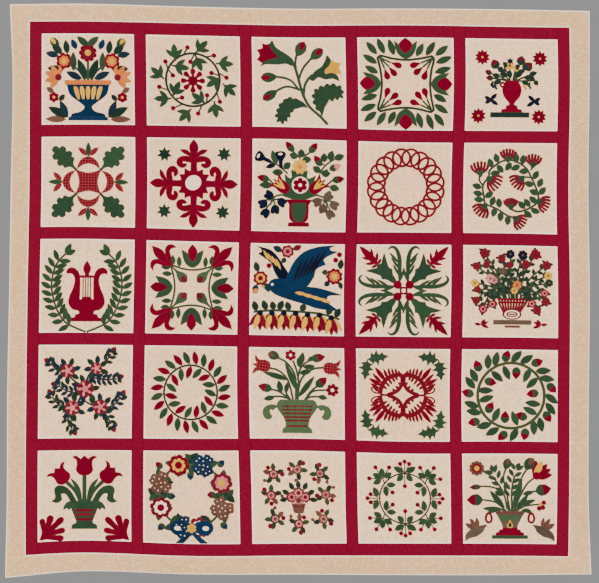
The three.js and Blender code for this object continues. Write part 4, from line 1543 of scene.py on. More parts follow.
def flyingBird():
    # a plain bird over a meadow, in blues, red and yellow
    back = [
        (-66, 6, 1), (-56, 20), (-40, 24), (-14, 20), (18, 8), (48, 4), (97, -10, 1), (66, -18), (92, -46, 1),
        (44, -40), (20, -32), (-22, -20), (-48, -10)]
    wing = [
        (18, 6), (36, 28), (42, 46), (62, 56, 1), (58, 68), (86, 84, 1), (70, 90), (82, 98, 1), (44, 94),
        (10, 80), (-14, 48), (-20, 8)]
    far = [
        (-18, 12), (-36, 20), (-50, 40), (-58, 58), (-86, 78, 1), (-78, 84), (-88, 94, 1), (-56, 84),
        (-30, 52), (-12, 20)]
    out = each(shape, (far, "navy"), (back, "blue", 2), (wing, "blue", 3))
    for k in range(5):
        out += leafTo(-8 + 9 * k, 16 + 4 * k, 12 + 13 * k, 70 + 5 * k, 7, "navy", 4)
    for k in range(4):
        out += each(
            leafTo, (-4 + 17 * k, -6 - 4 * k, 22 + 18 * k, -10 - 6 * k, 6, "yellow", 4),
            (-36 - 9 * k, 44 + 7 * k, -48 - 9 * k, 68 + 6 * k, 4, "yellow", 4))
    out += disc(-54, 11, 2.6, "cream", 4) + shape([(-64, 11, 1), (-65, 3, 1), (-80, 5, 1)], "orange")
    out += band([(-94, -50), (-50, -46), (0, -48), (50, -52), (94, -64)], 3.4)
    for k, x in enumerate((-80, -54, -28, -2, 24, 50, 76)):
        y = -48 - (3 if x > 20 else 0) - (6 if x > 60 else 0)
        out += petalFan(x, y - 3, -90, 40, 5, 76, 11, ("redPrint", "yellow", "red"))
        out += disc(x, y - 4, 6, "navy", 3)
    for way in (
        (-88, -48, -94, -26), (-66, -46, -74, -24), (-40, -45, -30, -24), (-16, -46, -22, -26),
        (10, -48, 18, -30), (-50, -45, -54, -26), (66, -54, 78, -36), (84, -60, 95, -40)
    ):
        out += leafTo(*way, 13, "greenDark")
    out += each(
        bloom, (-80, 24, 16, ("red", "yellow", "red")), (82, 30, 18, ("red", "orange", "yellow"), 9),
        (-22, 84, 14, ("red", "pink", "rose"), 7))
    out += each(
        leafTo, (-70, 14, -60, -6, 12, "greenDark"), (-86, 38, -92, 60, 12, "greenDark"),
        (-88, 10, -94, -10, 12, "teal"), (68, 40, 54, 38, 11), (94, 46, 97, 68, 12, "greenDark"),
        (72, 18, 60, 10, 11, "teal"), (94, 18, 98, 2, 9, "greenDark"), (-34, 84, -54, 94, 12, "teal"),
        (-10, 88, 8, 97, 11, "greenDark"), (-26, 70, -34, 58, 10, "greenDark"))
    for x, y in ((92, 78), (84, 66), (-90, -4), (-62, 52), (0, 92)):
        out += disc(x, y, 5.2, "red" if y > 50 else "orange")
    return out


def fernCross():
    def quarter(k):
        # one corner, up to the right
        leafy = [
            (14, 14, 1), (18, 26), (24, 36), (25, 47, 1), (32, 50), (37, 62), (43, 82, 1), (47, 68), (49, 59),
            (57, 57, 1), (59, 49), (68, 47), (82, 43, 1), (62, 37), (50, 32), (47, 25, 1), (36, 24), (26, 18)]
        made = shape(leafy, "green")
        for flip in (False, True):
            frond = leafPath([(9, 16), (9, 42), (10, 72), (17, 91), (27, 96), (35, 89)], 8.2)
            frond += each(
                leafTo, (9, 32, 24, 58, 4.4), (9, 46, 28, 73, 4.4), (11, 60, 32, 84, 4.4),
                (10, 18, -2, 50, 4.8))
            if flip:
                frond = [{**p, "line": p["line"][:, ::-1]} for p in frond]
            made += frond
        thistle = leafTo(56, 56, 97, 97, 14, "red", 2)
        for way in (
            (60, 62, 58, 84), (62, 60, 84, 58), (68, 70, 72, 92), (70, 68, 92, 72), (56, 58, 50, 70),
            (58, 56, 70, 50)
        ):
            thistle += leafTo(*way, 5, "red", 2)
        return made + thistle + disc(13, 13, 8.6, "red", 3)

    out = around(4, quarter)
    links = [(-8, -8, 1), (8, -8, 1), (8, 8, 1), (-8, 8, 1)]
    return out + each(shape, (links, "red", 2), ([(p[0] * 0.5, p[1] * 0.5, 1) for p in links], "cream", 3))


def leafPath(path, width, cloth="green", level=1):
    # a long leaf that follows a curve, pointed at both ends
    line = rounded(path, False, 3.4)
    side = sideways(line, False)
    t = np.linspace(0, 1, len(line))
    half = (width / 2 * np.sin(np.pi * np.clip(0.06 + 0.94 * t, 0, 1)) ** 0.7)[:, None]
    outline = np.vstack([(line - side * half)[:-1], line[-1:], (line + side * half)[-2::-1]])
    return [patch(outline, cloth, level, 60)]


def basket():
    out = []
    for k in range(10):
        share = (k - 4.5) / 4.5
        out += band([(4 + 30 * share, -24), (2 + 17 * share, -46)], 2.6, "red", 1)
    out += each(band, ([(-29, -17), (37, -17)], 2.2, "red", 1), ([(-27, -24), (35, -24)], 2.6, "red", 1))
    for k in range(10):
        out += band([(-26 + 6.6 * k, -16), (-24 + 6.4 * k, -25)], 3.0, "red", 1)
    out += each(
        disc, (3, -50, 20, "red", 2, 0.56), (3, -50, 16.5, "cream", 3, 0.54), (3, -50, 12.5, "red", 4, 0.5),
        (3, -50, 8.5, "cream", 5, 0.42))
    out += band([(-4, -50), (10, -50)], 1.8, "red", 6)
    out += each(
        vessel, ([(-72, 41, 1), (-63, 41, 1)], "brown", 1, 4), ([(-79, 16, 1), (-75, 16, 1)], "brown", 1, 4),
        ([(-70, 39, 1), (-65, 39, 1)], "bell", 2, 4))
    blooms = [
        (-57, 84, 10), (-19, 73, 8), (55, 82, 11), (79, 59, 9), (-75, 55, 8), (-52, 60, 7), (34, 60, 9),
        (-3, 58, 7), (-73, 4, 7), (74, -3, 8), (-75, -20, 8), (-40, -28, 8), (76, -22, 9), (-60, -39, 9),
        (57, -41, 9), (46, -26, 8)]
    others = [
        (0, 82, 9, "navy"), (27, 80, 10, "navy"), (82, 36, 8, "yellow"), (-78, 18, 8, "yellow"),
        (-44, 28, 9, "pink"), (14, 14, 9, "orange"), (8, 2, 7, "yellow"), (-16, 44, 8, "bell"),
        (84, 20, 8, "greenDark"), (-36, 24, 7, "pink")]
    placed = [(x, y, r, "red") for x, y, r in blooms] + others
    for n, (x, y, r, cloth) in enumerate(placed):
        startX = max(-24, min(28, 3 + x * 0.32))
        bow = (x * 0.72, y * 0.25 + 2) if y < -10 else (x * 0.45 + startX * 0.2, y * 0.45)
        path = [(startX, -18), bow, (x, y)]
        out += band(path, 1.9, "greenDark")
        line = rounded(path, False, 2)
        for k in range(6, len(line) - 3, 5):
            dx, dy = line[k + 1] - line[k]
            turn = math.degrees(math.atan2(dy, dx))
            turn += 50 if (k // 5 + n) % 2 else -50
            out += leaf(*line[k], turn, 14, 6.4, "greenDark" if n % 4 else "green")
        heart = "pink" if y < 10 and r < 9.5 and n % 2 else "rose"
        out += bloom(x, y, r + 0.6, ("red", heart, "red") if cloth == "red" else (cloth, "brown"), 7, 0.2, 2)
        if cloth == "red":
            for k in range(3):
                turn = 20 + 120 * k + 37 * n
                out += leaf(*onRing(x, y, r * 0.7, turn), turn, 8, 5, "greenDark")
    for x, way in ((-64, 1), (66, -1)):
        for turn, length in ((172, 14), (52, 15), (22, 17), (-22, 19)):
            out += leaf(x, -73, turn if way > 0 else 180 - turn, length, 5.6, "red")
    return out


def roseBranch():
    # a printed spray of roses, dusty reds with blue green leaves
    out = each(
        band, ([(-50, -62), (-20, -30), (-4, 4), (10, 40), (40, 66)], 3.2, "teal"),
        ([(-12, -16), (24, -34), (56, -36)], 2.4, "teal"), ([(-2, 10), (-36, 34), (-44, 62)], 2.4, "teal"))
    twigs = [
        ((-30, -40), (-62, -30), (-78, -12)), ((8, 34), (44, 28), (74, 30)),
        ((30, -36), (52, -56), (62, -76)), ((-40, 50), (-68, 52), (-82, 66)),
        ((-34, -46), (-40, -70), (-30, -86)), ((-10, -6), (-44, 2), (-64, 14)),
        ((40, 66), (52, 76), (60, 88)), ((56, -36), (72, -28), (84, -12))]
    for n, twig in enumerate(twigs):
        out += band(twig, 1.8, "teal")
        out += leafPairs(twig, 12, 6, 18, 7, "teal" if n % 2 else "greenDark", 46, 2)
    for x, y, r in ((0, 6, 21), (-30, -38, 18), (36, -36, 18), (-42, 48, 17), (26, 54, 14)):
        out += bloom(x, y, r, ("rose", "redPrint", "pink"), 9, 0.22, 2, 12)
        for k in range(5):
            out += leaf(*onRing(x, y, r * 0.3, 72 * k + 25), 72 * k + 50, r * 0.6, r * 0.24, "pink", 4)
        for k in range(7):
            turn = 51 * k + x
            out += leaf(*onRing(x, y, r * 0.7, turn), turn + 12, 21, 10.5, "teal" if k % 2 else "greenDark")
    for x, y, turn in (
        (-80, -8, 120), (76, 32, 20), (64, -80, -60), (-84, 68, 150), (-28, -88, -60), (-66, 16, 170),
        (62, 90, 60), (86, -10, 60)
    ):
        out += cupBud(x, y, turn, 16, 13, "rose", "teal")
        out += each(leaf, (x, y, turn + 70, 15, 8, "teal"), (x, y, turn - 70, 15, 8, "greenDark"))
    return [{**p, "line": p["line"] * 0.93} for p in out]


def leafWreath():
    out = ring(0, 0, 59, 2.4, "greenDark")
    for k in range(24):
        angle = k * 15 + 3
        out += leaf(*onRing(0, 0, 61.5, angle), angle + 23, 30, 12.2, "red" if k % 2 else "green")
    for k in range(15):
        angle = k * 24 + 17
        out += leaf(*onRing(0, 0, 57, angle), angle + 161, 29, 11.6, "red" if k % 2 else "green")
    return out


def handledPot():
    out = vessel([
        (-88, 32, 1), (-80, 31), (-74, 25), (-60, 26), (-46, 34), (-34, 42), (-26, 43), (-20, 41),
        (-15, 36, 1)
    ], "leaf")
    handle = shape([
        (36, -46), (34, -36), (44, -32), (52, -38), (58, -36), (58, -46), (54, -52), (60, -58), (69, -56),
        (74, -44), (70, -32), (58, -26), (46, -27), (36, -30)
    ], "leaf", 0)
    out += bothSides(handle)
    for n, y in enumerate((-29, -37, -45, -53, -61, -73)):
        half = (29, 28, 26, 24, 22, 18)[n]
        for k in range(8):
            x = (k - 3.5) * half / 3.4
            out += band([(x - 3.6, y), (x + 3.6, y)], 3.2 if k % 2 else 2.4, "redPrint", 2)
    stems = (
        [(-8, -14), (-20, 30), (-40, 50), (-62, 56)], [(-2, -14), (-4, 40), (-22, 68), (-40, 78)],
        [(2, -14), (6, 20), (16, 40), (36, 54), (60, 58)], [(0, -14), (4, 20), (0, 50), (-8, 72)],
        [(2, 30), (8, 54), (20, 68), (34, 76)], [(-14, -14), (-40, 4), (-56, 8)],
        [(-12, -14), (-34, -8), (-54, -8)], [(18, -14), (30, 4), (46, 18)], [(20, -14), (34, 4), (62, 8)],
        [(16, -14), (30, -8), (50, -7)], [(-16, -12), (-24, 4), (-21, 20)])
    for path in stems:
        out += band(path, 2.7)
    for x, y, turn in ((-57, 58, 172), (58, 57, -4)):
        half = [(0, 0), (3, 9), (13, 13), (25, 12), (36, 21, 1), (34, 10), (29, 4, 1), (40, 0, 1)]
        out += shape(twoSided(half), "redPlaid", 2, (x, y, turn))
    out += lensBud(-38, 79, 160, 25, 19, "brown")
    out += each(
        cupBud, (32, 76, 12, 30, 18, "redPrint"), (-54, 8, 165, 30, 18, "redPrint"),
        (42, 15, 42, 30, 19, "redPrint"))
    out += each(
        bloom, (-13, 84, 12, ("redPrint", "cream"), 6, 0.3), (77, 8, 14, ("redPrint", "cream"), 7, 0.3))
    leaves = (
        (-18, 30, -72, 46, 11), (4, 0, -25, 68, 12), (4, -8, 38, 38, 11), (8, 56, 3, 80, 10),
        (8, 62, 14, 91, 12), (14, 58, 40, 60, 10), (6, 44, 32, 50, 11), (-34, 0, -39, 28, 12),
        (-24, 0, -20, 24, 9), (-48, -9, -72, -14, 10), (46, -7, 66, -10, 10), (24, 72, 40, 82, 9))
    return out + each(leafTo, *leaves)


def featherMedallion():
    # a papercut: a frame of feathered fronds round a pointed star, the ground showing between
    frame = [(1, 38), (6, 44), (16, 43.5), (28, 39.5), (39, 32), (46, 21), (50, 9), (51, 2)]
    spikes = (
        (7, 45, 10, 54, 3.6), (14, 45, 17, 58, 4), (21, 43, 25, 59, 4.2), (28, 40, 33, 59, 4.6),
        (34, 36, 43, 57, 5.2), (39, 31, 62, 60, 9), (46, 25, 68, 47, 6), (47, 20, 76, 36, 8),
        (51, 13, 73, 25, 5.4), (52, 7, 66, 15, 4.4))
    barbs = (
        (16, 41, 13, 32, 4.4), (24, 39, 18, 28, 4.4), (32, 35, 24, 23, 4.4), (39, 28, 29, 18, 4.4),
        (45, 20, 35, 13, 4.4), (6, 23, 10, 28, 5), (12, 15, 16, 20, 5), (19, 9, 23, 14, 5))
    quarter = each(
        band, (frame, 8, "red", 1), ([(0, 33), (4, 21), (10, 12), (20, 5.5), (33, 1)], 6.4, "red", 1))
    quarter += each(leaf, (0, 24, 90, 18, 11, "red"), (24, 0, 0, 14, 9, "red"))
    quarter += band([(30, 1), (51, 1)], 0.8, "red", 1)
    for way in spikes + barbs:
        quarter += leafTo(*way, "red")
    quarter += band([(52, 3), (58, 4), (66, 6.5), (70, 12), (67, 17), (61, 16), (61, 12)], 1.6, "red", 1)
    oak = [
        (0, 1, 1), (5, 1.4), (8, 8), (10, 14, 1), (15, 8), (22, 18, 1), (24, 9), (28, 6), (35, 11, 1),
        (37, 5.4), (48, 0, 1)]
    quarter += each(
        shape, (twoSided(oak), "green", 1, (77, 78, 171), 0.95),
        (twoSided(oak), "green", 1, (78, 77, -81), 0.95))
    quarter += band([(77, 79), (67, 71)], 1.6)
    return quarter + flipped(quarter) + upended(quarter) + flipped(upended(quarter))


def budWreath():
    out = ring(3, 0, 71.5, 4.6, "olive")
    outer = [
        (-47, 74), (-30, 80), (14, 86), (36, 80), (72, 55), (80, 38), (90, -6), (88, -28), (67, -63),
        (52, -70), (9, -86), (-37, -79), (-55, -66), (-77, -36), (-82, -20), (-85, 28), (-77, 44)]
    inner = [
        (-27, 42), (-7, 50), (37, 45), (48, 28), (50, -17), (44, -33), (11, -50), (-29, -42), (-50, -7),
        (-52, 11)]
    for x, y in outer:
        out += leafMid(x, y, math.degrees(math.atan2(y, x - 3)) - 34, 33, 14.5)
    for x, y in inner:
        out += leafMid(x, y, math.degrees(math.atan2(y, x - 3)) + 192, 34, 13.5)
    buds = [
        (-8, 86, 70), (58, 73, 20), (-69, 64, 110), (-89, 5, 165), (-76, -58, 190), (-15, -88, 225),
        (33, -84, 260), (81, -45, -60), (90, 18, -45)]
    buds += [(14, 50, -95), (-42, 30, -15), (50, 5, 190), (-43, -27, 60), (-10, -48, 85), (26, -45, 160)]
    for x, y, turn in buds:
        c, s = wayOf(turn)
        out += cupBud(x - 12.5 * c, y - 12.5 * s, turn, 26, 18)
    return out


def tulipPot():
    out = vessel([(-74, 28, 1), (-66, 27), (-60, 18), (-46, 22), (-28, 28), (-16, 24), (-12, 14, 1)], "green")
    ear = [
        (18, -26), (26, -14), (36, -14), (44, -22), (46, -31, 1), (38, -27), (35, -31), (28, -28), (22, -36)]
    out += bothSides(shape(ear, "green", 2))
    for y, half in ((-33, 20), (-42, 20), (-53, 17)):
        out += band([(-half, y), (half, y)], 4.6, "redPrint", 3)
    out += each(
        band, ([(0, -16), (0, 50)], 7.5), ([(8, -16), (20, 10), (43, 34)], 6.5),
        ([(-8, -16), (-20, 10), (-43, 34)], 6.5))
    out += each(flaredTulip, (0, 45, 90, 43), (-39, 30, 130, 40), (40, 32, 48, 40))
    out += bothSides(leafPath([(8, -18), (12, 4), (18, 22), (30, 38)], 10))
    out += bothSides(band([(4, -16), (12, 0), (30, 22)], 3.2))
    big = [
        (16, -22), (24, 0), (36, 16), (48, 22), (60, 22), (66, 14), (64, -4), (72, -12, 1), (60, -15),
        (50, -8), (51, 4), (42, 4), (32, -10), (28, -24)]
    out += bothSides(shape(big, "green"))
    fingers = (
        (-88, -80, -94, -50, 12), (-84, -78, -73, -43, 14), (-82, -82, -47, -49, 13),
        (-84, -84, -43, -76, 12), (-86, -90, -46, -95, 12))
    hand = [(-99, -97, 1), (-90, -96), (-80, -92), (-72, -84), (-74, -76), (-82, -72), (-92, -74), (-94, -84)]
    coral = shape(hand, "red")
    for x, y, tipX, tipY, width in fingers:
        coral += finger(x, y, tipX, tipY, 9, width, "red")
    return out + bothSides(coral)


def ribbonWreath():
    # a full wreath of mixed flowers, tied below with a plain bow
    out = ring(0, 4, 70, 3.4)
    for k in range(24):
        angle = k * 15 + 6
        x, y = onRing(0, 4, 70, angle)
        if 248 < angle < 296:
            continue
        out += each(
            leaf, (x, y, angle + (58 if k % 2 else -50), 32, 15, "green" if k % 3 else "greenDark"),
            (x, y, angle + (152 if k % 2 else 204), 26, 12, "greenDark" if k % 3 else "green"))
    kinds = [
        ("rose", "pink", "yellow"), ("blue",), ("red", "yellow", "red"), ("brown",),
        ("redPrint", "cream", "red"), ("blue",), ("rose", "cream", "yellow"), ("brown",)]
    for k, cloth in enumerate(kinds):
        angle = 22.5 + 45 * k + (10 if k == 5 else -10 if k == 6 else 0)
        x, y = onRing(0, 4, 71, angle)
        if len(cloth) > 1:
            out += bloom(x, y, 23, cloth, 8, 0.2, 2, 15)
        else:
            for n in range(13):
                spot = onRing(x, y, (0, 9, 18)[(n > 0) + (n > 4)], n * 83 + k * 10)
                out += lobes(*spot, 7.8, 5, 0.25, cloth[0], 2 + n % 3) + disc(*spot, 1.1, "cream", 5)
    for k in range(8):
        x, y = onRing(0, 4, 86 if k % 2 else 52, 45 * k + 2)
        if k != 6:
            turn = 45 * k + (0 if k % 2 else 180)
            out += cupBud(x, y, turn, 18, 14, "blue" if k % 3 else "red", "green", 2)
    bow = bothSides(
        shape([(0, -66), (-14, -53), (-36, -52), (-46, -67), (-32, -82), (-12, -77)], "blue", 4)
        + disc(-30, -67, 7, "cream", 5, 0.7))
    tails = bothSides(
        shape([(-3, -70), (-12, -80), (-34, -99, 1), (-18, -99, 1), (-6, -86), (2, -74)], "blue", 3))
    return out + tails + bow + bloom(0, -67, 10, ("yellow", "orange"), 6, 0.25, 6)


def posy():
    # small printed sprigs round a little pot, dark and close
    out = vessel([(-34, 9), (-30, 11, 1), (-14, 15, 1)], "brown", 2)
    out += band([(-12, -20), (12, -20)], 2.4, "rose", 3)
    for x, y, r, cloth in (
        (-15, 0, 12, "rose"), (0, 9, 13, "brown"), (15, 0, 12, "rose"), (0, -7, 10, "pink")
    ):
        inner = "pink" if cloth != "pink" else "brown"
        out += bloom(x, y, r, (cloth, inner, "rose"), 7, 0.22, 2)
    for x, y, turn in (
        (0, 18, 90), (-20, 6, 150), (20, 6, 30), (-11, 16, 118), (11, 16, 62), (-24, -4, 190), (24, -4, -10)
    ):
        out += leaf(x, y, turn, 18, 9.5, "greenDark")
    for n, (x, y) in enumerate((
        (-54, 50), (-2, 60), (48, 52), (-60, 4), (60, 6), (-52, -47), (0, -58), (54, -47)
    )):
        turn = n * 47 % 360
        outer = ("rose", "brown", "greenDark")[n % 3]
        out += bloom(x, y, 11, (outer, "pink", "brown"), 6, 0.25, 2, turn)
        for k in range(5):
            angle = turn + k * 72 + 20
            out += leaf(*onRing(x, y, 7, angle), angle, 17, 9, ("greenDark", "olive", "brown")[k % 3])
        out += disc(*onRing(x, y, 19, turn), 5, "rose") + disc(*onRing(x, y, 18, turn + 130), 4.4, "red")
        curl = [onRing(x, y, reach, turn + slant) for reach, slant in ((8, 220), (18, 235), (24, 215))]
        out += band(curl, 2.4, "rose", 1)
        out += disc(*onRing(x, y, 24, turn + 215), 3.4, "brown")
    return out


def cherryWreath():
    out = ring(2, 0, 56, 1.6, "greenDark")

    def cherry(fromX, fromY, x, y):
        return band([(fromX, fromY), (x, y)], 0.6) + disc(x, y, 4.4, "red")

    def quarter():
        # the sprays of one quarter of the ring: above, beside and at the corner
        made = each(leafTo, (4, 59, 24, 71, 12), (4, 53, 17, 39, 11.5), (60, 4, 69, 25, 12))
        made += each(cherry, (2, 58, 10, 78), (60, 3, 76, 9))
        for turn in (146, 84, 26, -31):
            made += leaf(*onRing(49, 44, 4, turn), turn, 20, 11.5)
        for turn in (120, 58, 0):
            made += cherry(49, 44, *onRing(49, 44, 29.5, turn))
        made += band([(45, 34), (49, 44)], 1) + each(leafTo, (41, 30, 20, 31, 11), (44, 27, 40, 4, 11))
        return made + cherry(43, 28, 27.5, 13.5)

    for x in (1, -1):
        for y in (1, -1):
            for piece in quarter():
                line = piece["line"] * np.array([x, y])
                out.append({**piece, "line": line if x * y > 0 else line[::-1]})
    out += each(
        cherry, (0, 56, 0, 83), (0, -56, 0, -83), (56, 0, 83, 0), (-56, 0, -83, 0), (0, 56, 0, 28),
        (0, -56, 0, -28))
    return out[:1] + moved(out[1:], 2)


def greenUrn():
    out = each(
        vessel, ([(-66, 14), (-58, 17), (-46, 23), (-38, 27), (-34, 28, 1)], "leaf"),
        ([(-35, 29), (-31, 31), (-28, 29, 1)], "brown", 2), ([(-66, 14), (-58, 17), (-50, 20, 1)], "bell", 2))
    out += each(drop, (0, -47, -90, 19, 14, "yellow", 3), (0, -51, -90, 12, 7, "greenDark", 4))
    out += each(
        vessel,
        ([(-82, 31, 1), (-76, 30, 1), (-75, 24, 1), (-70, 23, 1), (-69, 17, 1), (-65, 15, 1)], "red", 3),
        ([(-89, 39, 1), (-82, 39, 1)], "green", 3))
    for way in (-1, 1):
        out += leafPath([(way * 22, -32), (way * 34, -26), (way * 44, -30), (way * 48, -36)], 9)
        loop = [
            (way * 47, -32), (way * 53, -42), (way * 51, -51), (way * 46, -53), (way * 41, -49),
            (way * 41, -40)]
        out += band(loop, 3, "red", 2, True)
    stems = (
        [(-2, -28), (-18, 20), (-38, 48), (-60, 62)], [(0, -28), (-8, 16), (-14, 48), (-8, 70)],
        [(4, -28), (14, 20), (28, 52), (38, 68)], [(8, -28), (24, 10), (38, 34), (54, 48)],
        [(12, -28), (30, 0), (44, 14), (58, 18)], [(-8, -28), (-32, -8), (-62, -2)],
        [(12, -28), (34, -16), (66, -12)], [(-6, -24), (-16, 14), (-40, 26), (-66, 28)],
        [(-10, -26), (-34, -22), (-52, -20)], [(4, -26), (4, 20), (10, 52)])
    for path in stems:
        out += band(path, 2.3)
    out += bloom(-72, 68, 16.5, ("brown", "red", "yellow"), 10, 0.16)
    out += each(lensBud, (-10, 66, 72, 25, 17, "brown"), (34, 66, 55, 30, 23, "brown"))
    out += petalFan(54, 48, 48, 41, 5, 76, 14, ("red", "red", "red", "yellow", "red"))
    out += disc(58, 52, 8.4, "red", 3)
    out += each(cupBud, (56, 17, 12, 34, 25), (-60, -2, 182, 34, 25), (-64, 27, 185, 24, 11, "rose"))
    out += each(
        disc, (74, -8, 4.6, "red"), (72, -19, 5, "red"), (64, -21, 5, "red"), (66, -11, 3.6, "yellow"))
    out += each(
        leafPairs, ([(-8, 10), (-22, 34), (-38, 62)], 15, 8, 20, 7.5, "green", 44, 4),
        ([(0, -10), (2, 24), (14, 70)], 15, 14, 19, 7.5, "green", 44, 4))
    out += each(
        leafTo, (-38, 60, -40, 76, 9), (14, 68, 22, 80, 9), (-12, -22, -44, 18, 12), (8, -22, 26, 46, 13),
        (14, -24, 40, 10, 10), (-16, -24, -60, -22, 10), (20, -14, 56, -2, 9), (28, 10, 52, 16, 9),
        (-14, 8, -34, 16, 10))
    for way in (-1, 1):
        made = shape([
            (-22, -14, 1), (-16, -4), (0, 6), (14, 10), (26, 12, 1), (20, 4), (16, -4), (2, -14), (-12, -18),
            (-22, -24, 1)
        ], "bell", 2)
        made += each(
            leafTo, (0, 2, -22, 14, 10, "brown", 3), (2, 4, -12, 26, 8, "brown"), (6, 6, 2, 28, 7, "brown"))
        made = made if way < 0 else flipped(made)
        out += moved(made, way * 76, -70)
    return out


patterns = [
    [
        ("compote", compote, "rows"), ("ivy_wreath", ivyWreath, "squares"),
        ("trumpet_spray", trumpetSpray, "rows"), ("tulip_square", tulipSquare, "squares"),
        ("red_urn", redUrn, "rows")],
    [
        ("oak_leaf_reel", oakLeafReel, "rows"), ("fleur_cross", fleurCross, "squares"),
        ("bellflower_pot", bellflowerPot, "rows"), ("ring_chain", ringChain, "squares"),
        ("thistle_wreath", thistleWreath, "rows")],
    [
        ("lyre", lyre, "rows"), ("lily_square", lilySquare, "squares"), ("swallow", flyingBird, "rows"),
        ("fern_cross", fernCross, "rows"), ("basket", basket, "rows")],
    [
        ("rose_branch", roseBranch, "diamonds"), ("leaf_wreath", leafWreath, "squares"),
        ("handled_pot", handledPot, "rows"), ("feather_medallion", featherMedallion, "squares"),
        ("bud_wreath", budWreath, "rows")],
    [
        ("tulip_pot", tulipPot, "rows"), ("ribbon_wreath", ribbonWreath, "squares"),
        ("posy", posy, "diamonds"), ("cherry_wreath", cherryWreath, "diagonals"),
        ("green_urn", greenUrn, "rows")],]

sewing = {
    "thickness": 0.42,  # mm of one layer of patch
    "start": 0.3,
    "layer": 0.34,
    "turnIn": 1.1,  # mm of rounded edge
    "inside": 7.5,  # mm between points inside a patch
    "root": 0.5,
    "puff": 0.35,
    "rimWidth": 0.0012,  # metres of a patch's rim that take its shade
    "loose": 0.02,  # mm by which a patch may lie higher than the next
    "siteStep": 0.0025,
}


class PatchPile:
    # collects the patches of one block as one mesh
    def __init__(self, column, row):
        self.column, self.row = column, row
        self.points, self.faces, self.cloths = [], [], []
        self.plans, self.maps, self.tones, self.rims = [], [], [], []
        self.names = []
        self.count = 0

    def clothIndex(self, name):
        if name not in self.names:
            self.names.append(name)
        return self.names.index(name)

    def put(self, flatPoints, heights, faces, patchInfo, rims, tone):
        # flatPoints: metres from the block's middle; heights: mm over the padding
        middleX, middleY = blockMiddle(self.column, self.row)
        x, y = flatPoints[:, 0] + middleX, flatPoints[:, 1] + middleY
        z = (smoothBlock(x, y, self.column, self.row) + heights) * mm
        placedX, placedY = settle(x, y)
        self.points.append(np.column_stack([placedX, placedY, z]))
        self.faces += [tuple(i + self.count for i in face) for face in faces]
        self.cloths += [self.clothIndex(patchInfo["cloth"])] * len(faces)
        self.plans.append(np.column_stack([x, y]))
        self.maps.append(turnedBy(flatPoints, -patchInfo["grain"]))
        self.tones.append(np.full(len(x), tone))
        self.rims.append(rims)
        self.count += len(x)

    def mesh(self, name):
        materials = [clothFor(n) for n in self.names]
        mesh = fillMesh(name, np.vstack(self.points), self.faces, materials, self.cloths)
        addMap(mesh, "plan", np.vstack(self.plans))
        addMap(mesh, "cloth", np.vstack(self.maps))
        addFloat(mesh, "tone", np.concatenate(self.tones))
        addFloat(mesh, "rim", np.concatenate(self.rims))
        return mesh


def tidyLine(line, closed):
    # drops points that lie almost on one another
    kept = [line[0]]
    for p in line[1:]:
        if np.hypot(*(p - kept[-1])) > 0.4:
            kept.append(p)
    if closed and len(kept) > 3 and np.hypot(*(kept[0] - kept[-1])) < 0.4:
        kept.pop()
    return np.array(kept)


def areaOf(line):
    x, y = line[:, 0], line[:, 1]
    return 0.5 * float(np.sum(x * np.roll(y, -1) - np.roll(x, -1) * y))


def segmentGaps(points, line):
    # distance from each point to a closed line
    a, b = line, np.roll(line, -1, axis=0)
    way = b - a
    length = np.maximum((way**2).sum(axis=1), 1e-12)
    offset = points[:, None, :] - a[None]
    t = np.clip((offset * way[None]).sum(axis=2) / length[None], 0, 1)
    gap = offset - t[..., None] * way[None]
    return np.sqrt((gap**2).sum(axis=2)).min(axis=1)


def isInside(points, line):
    x, y = points[:, 0][:, None], points[:, 1][:, None]
    ax, ay = line[:, 0][None], line[:, 1][None]
    bx, by = np.roll(line[:, 0], -1)[None], np.roll(line[:, 1], -1)[None]
    crosses = (ay > y) != (by > y)
    height = np.where(by == ay, 1e-12, by - ay)
    hits = crosses & (x < (bx - ax) * (y - ay) / height + ax)
    return hits.sum(axis=1) % 2 == 1


def profileAt(gap, thickness):
    # rounded turned edge, then a slight puff inwards, in mm
    inFromEdge = np.clip(gap / (sewing["turnIn"] * mm), 0, 1)
    puff = sewing["puff"] * (1 - np.exp(-gap / 0.008))
    return thickness * (0.35 + 0.65 * np.sqrt(inFromEdge)) + puff * inFromEdge


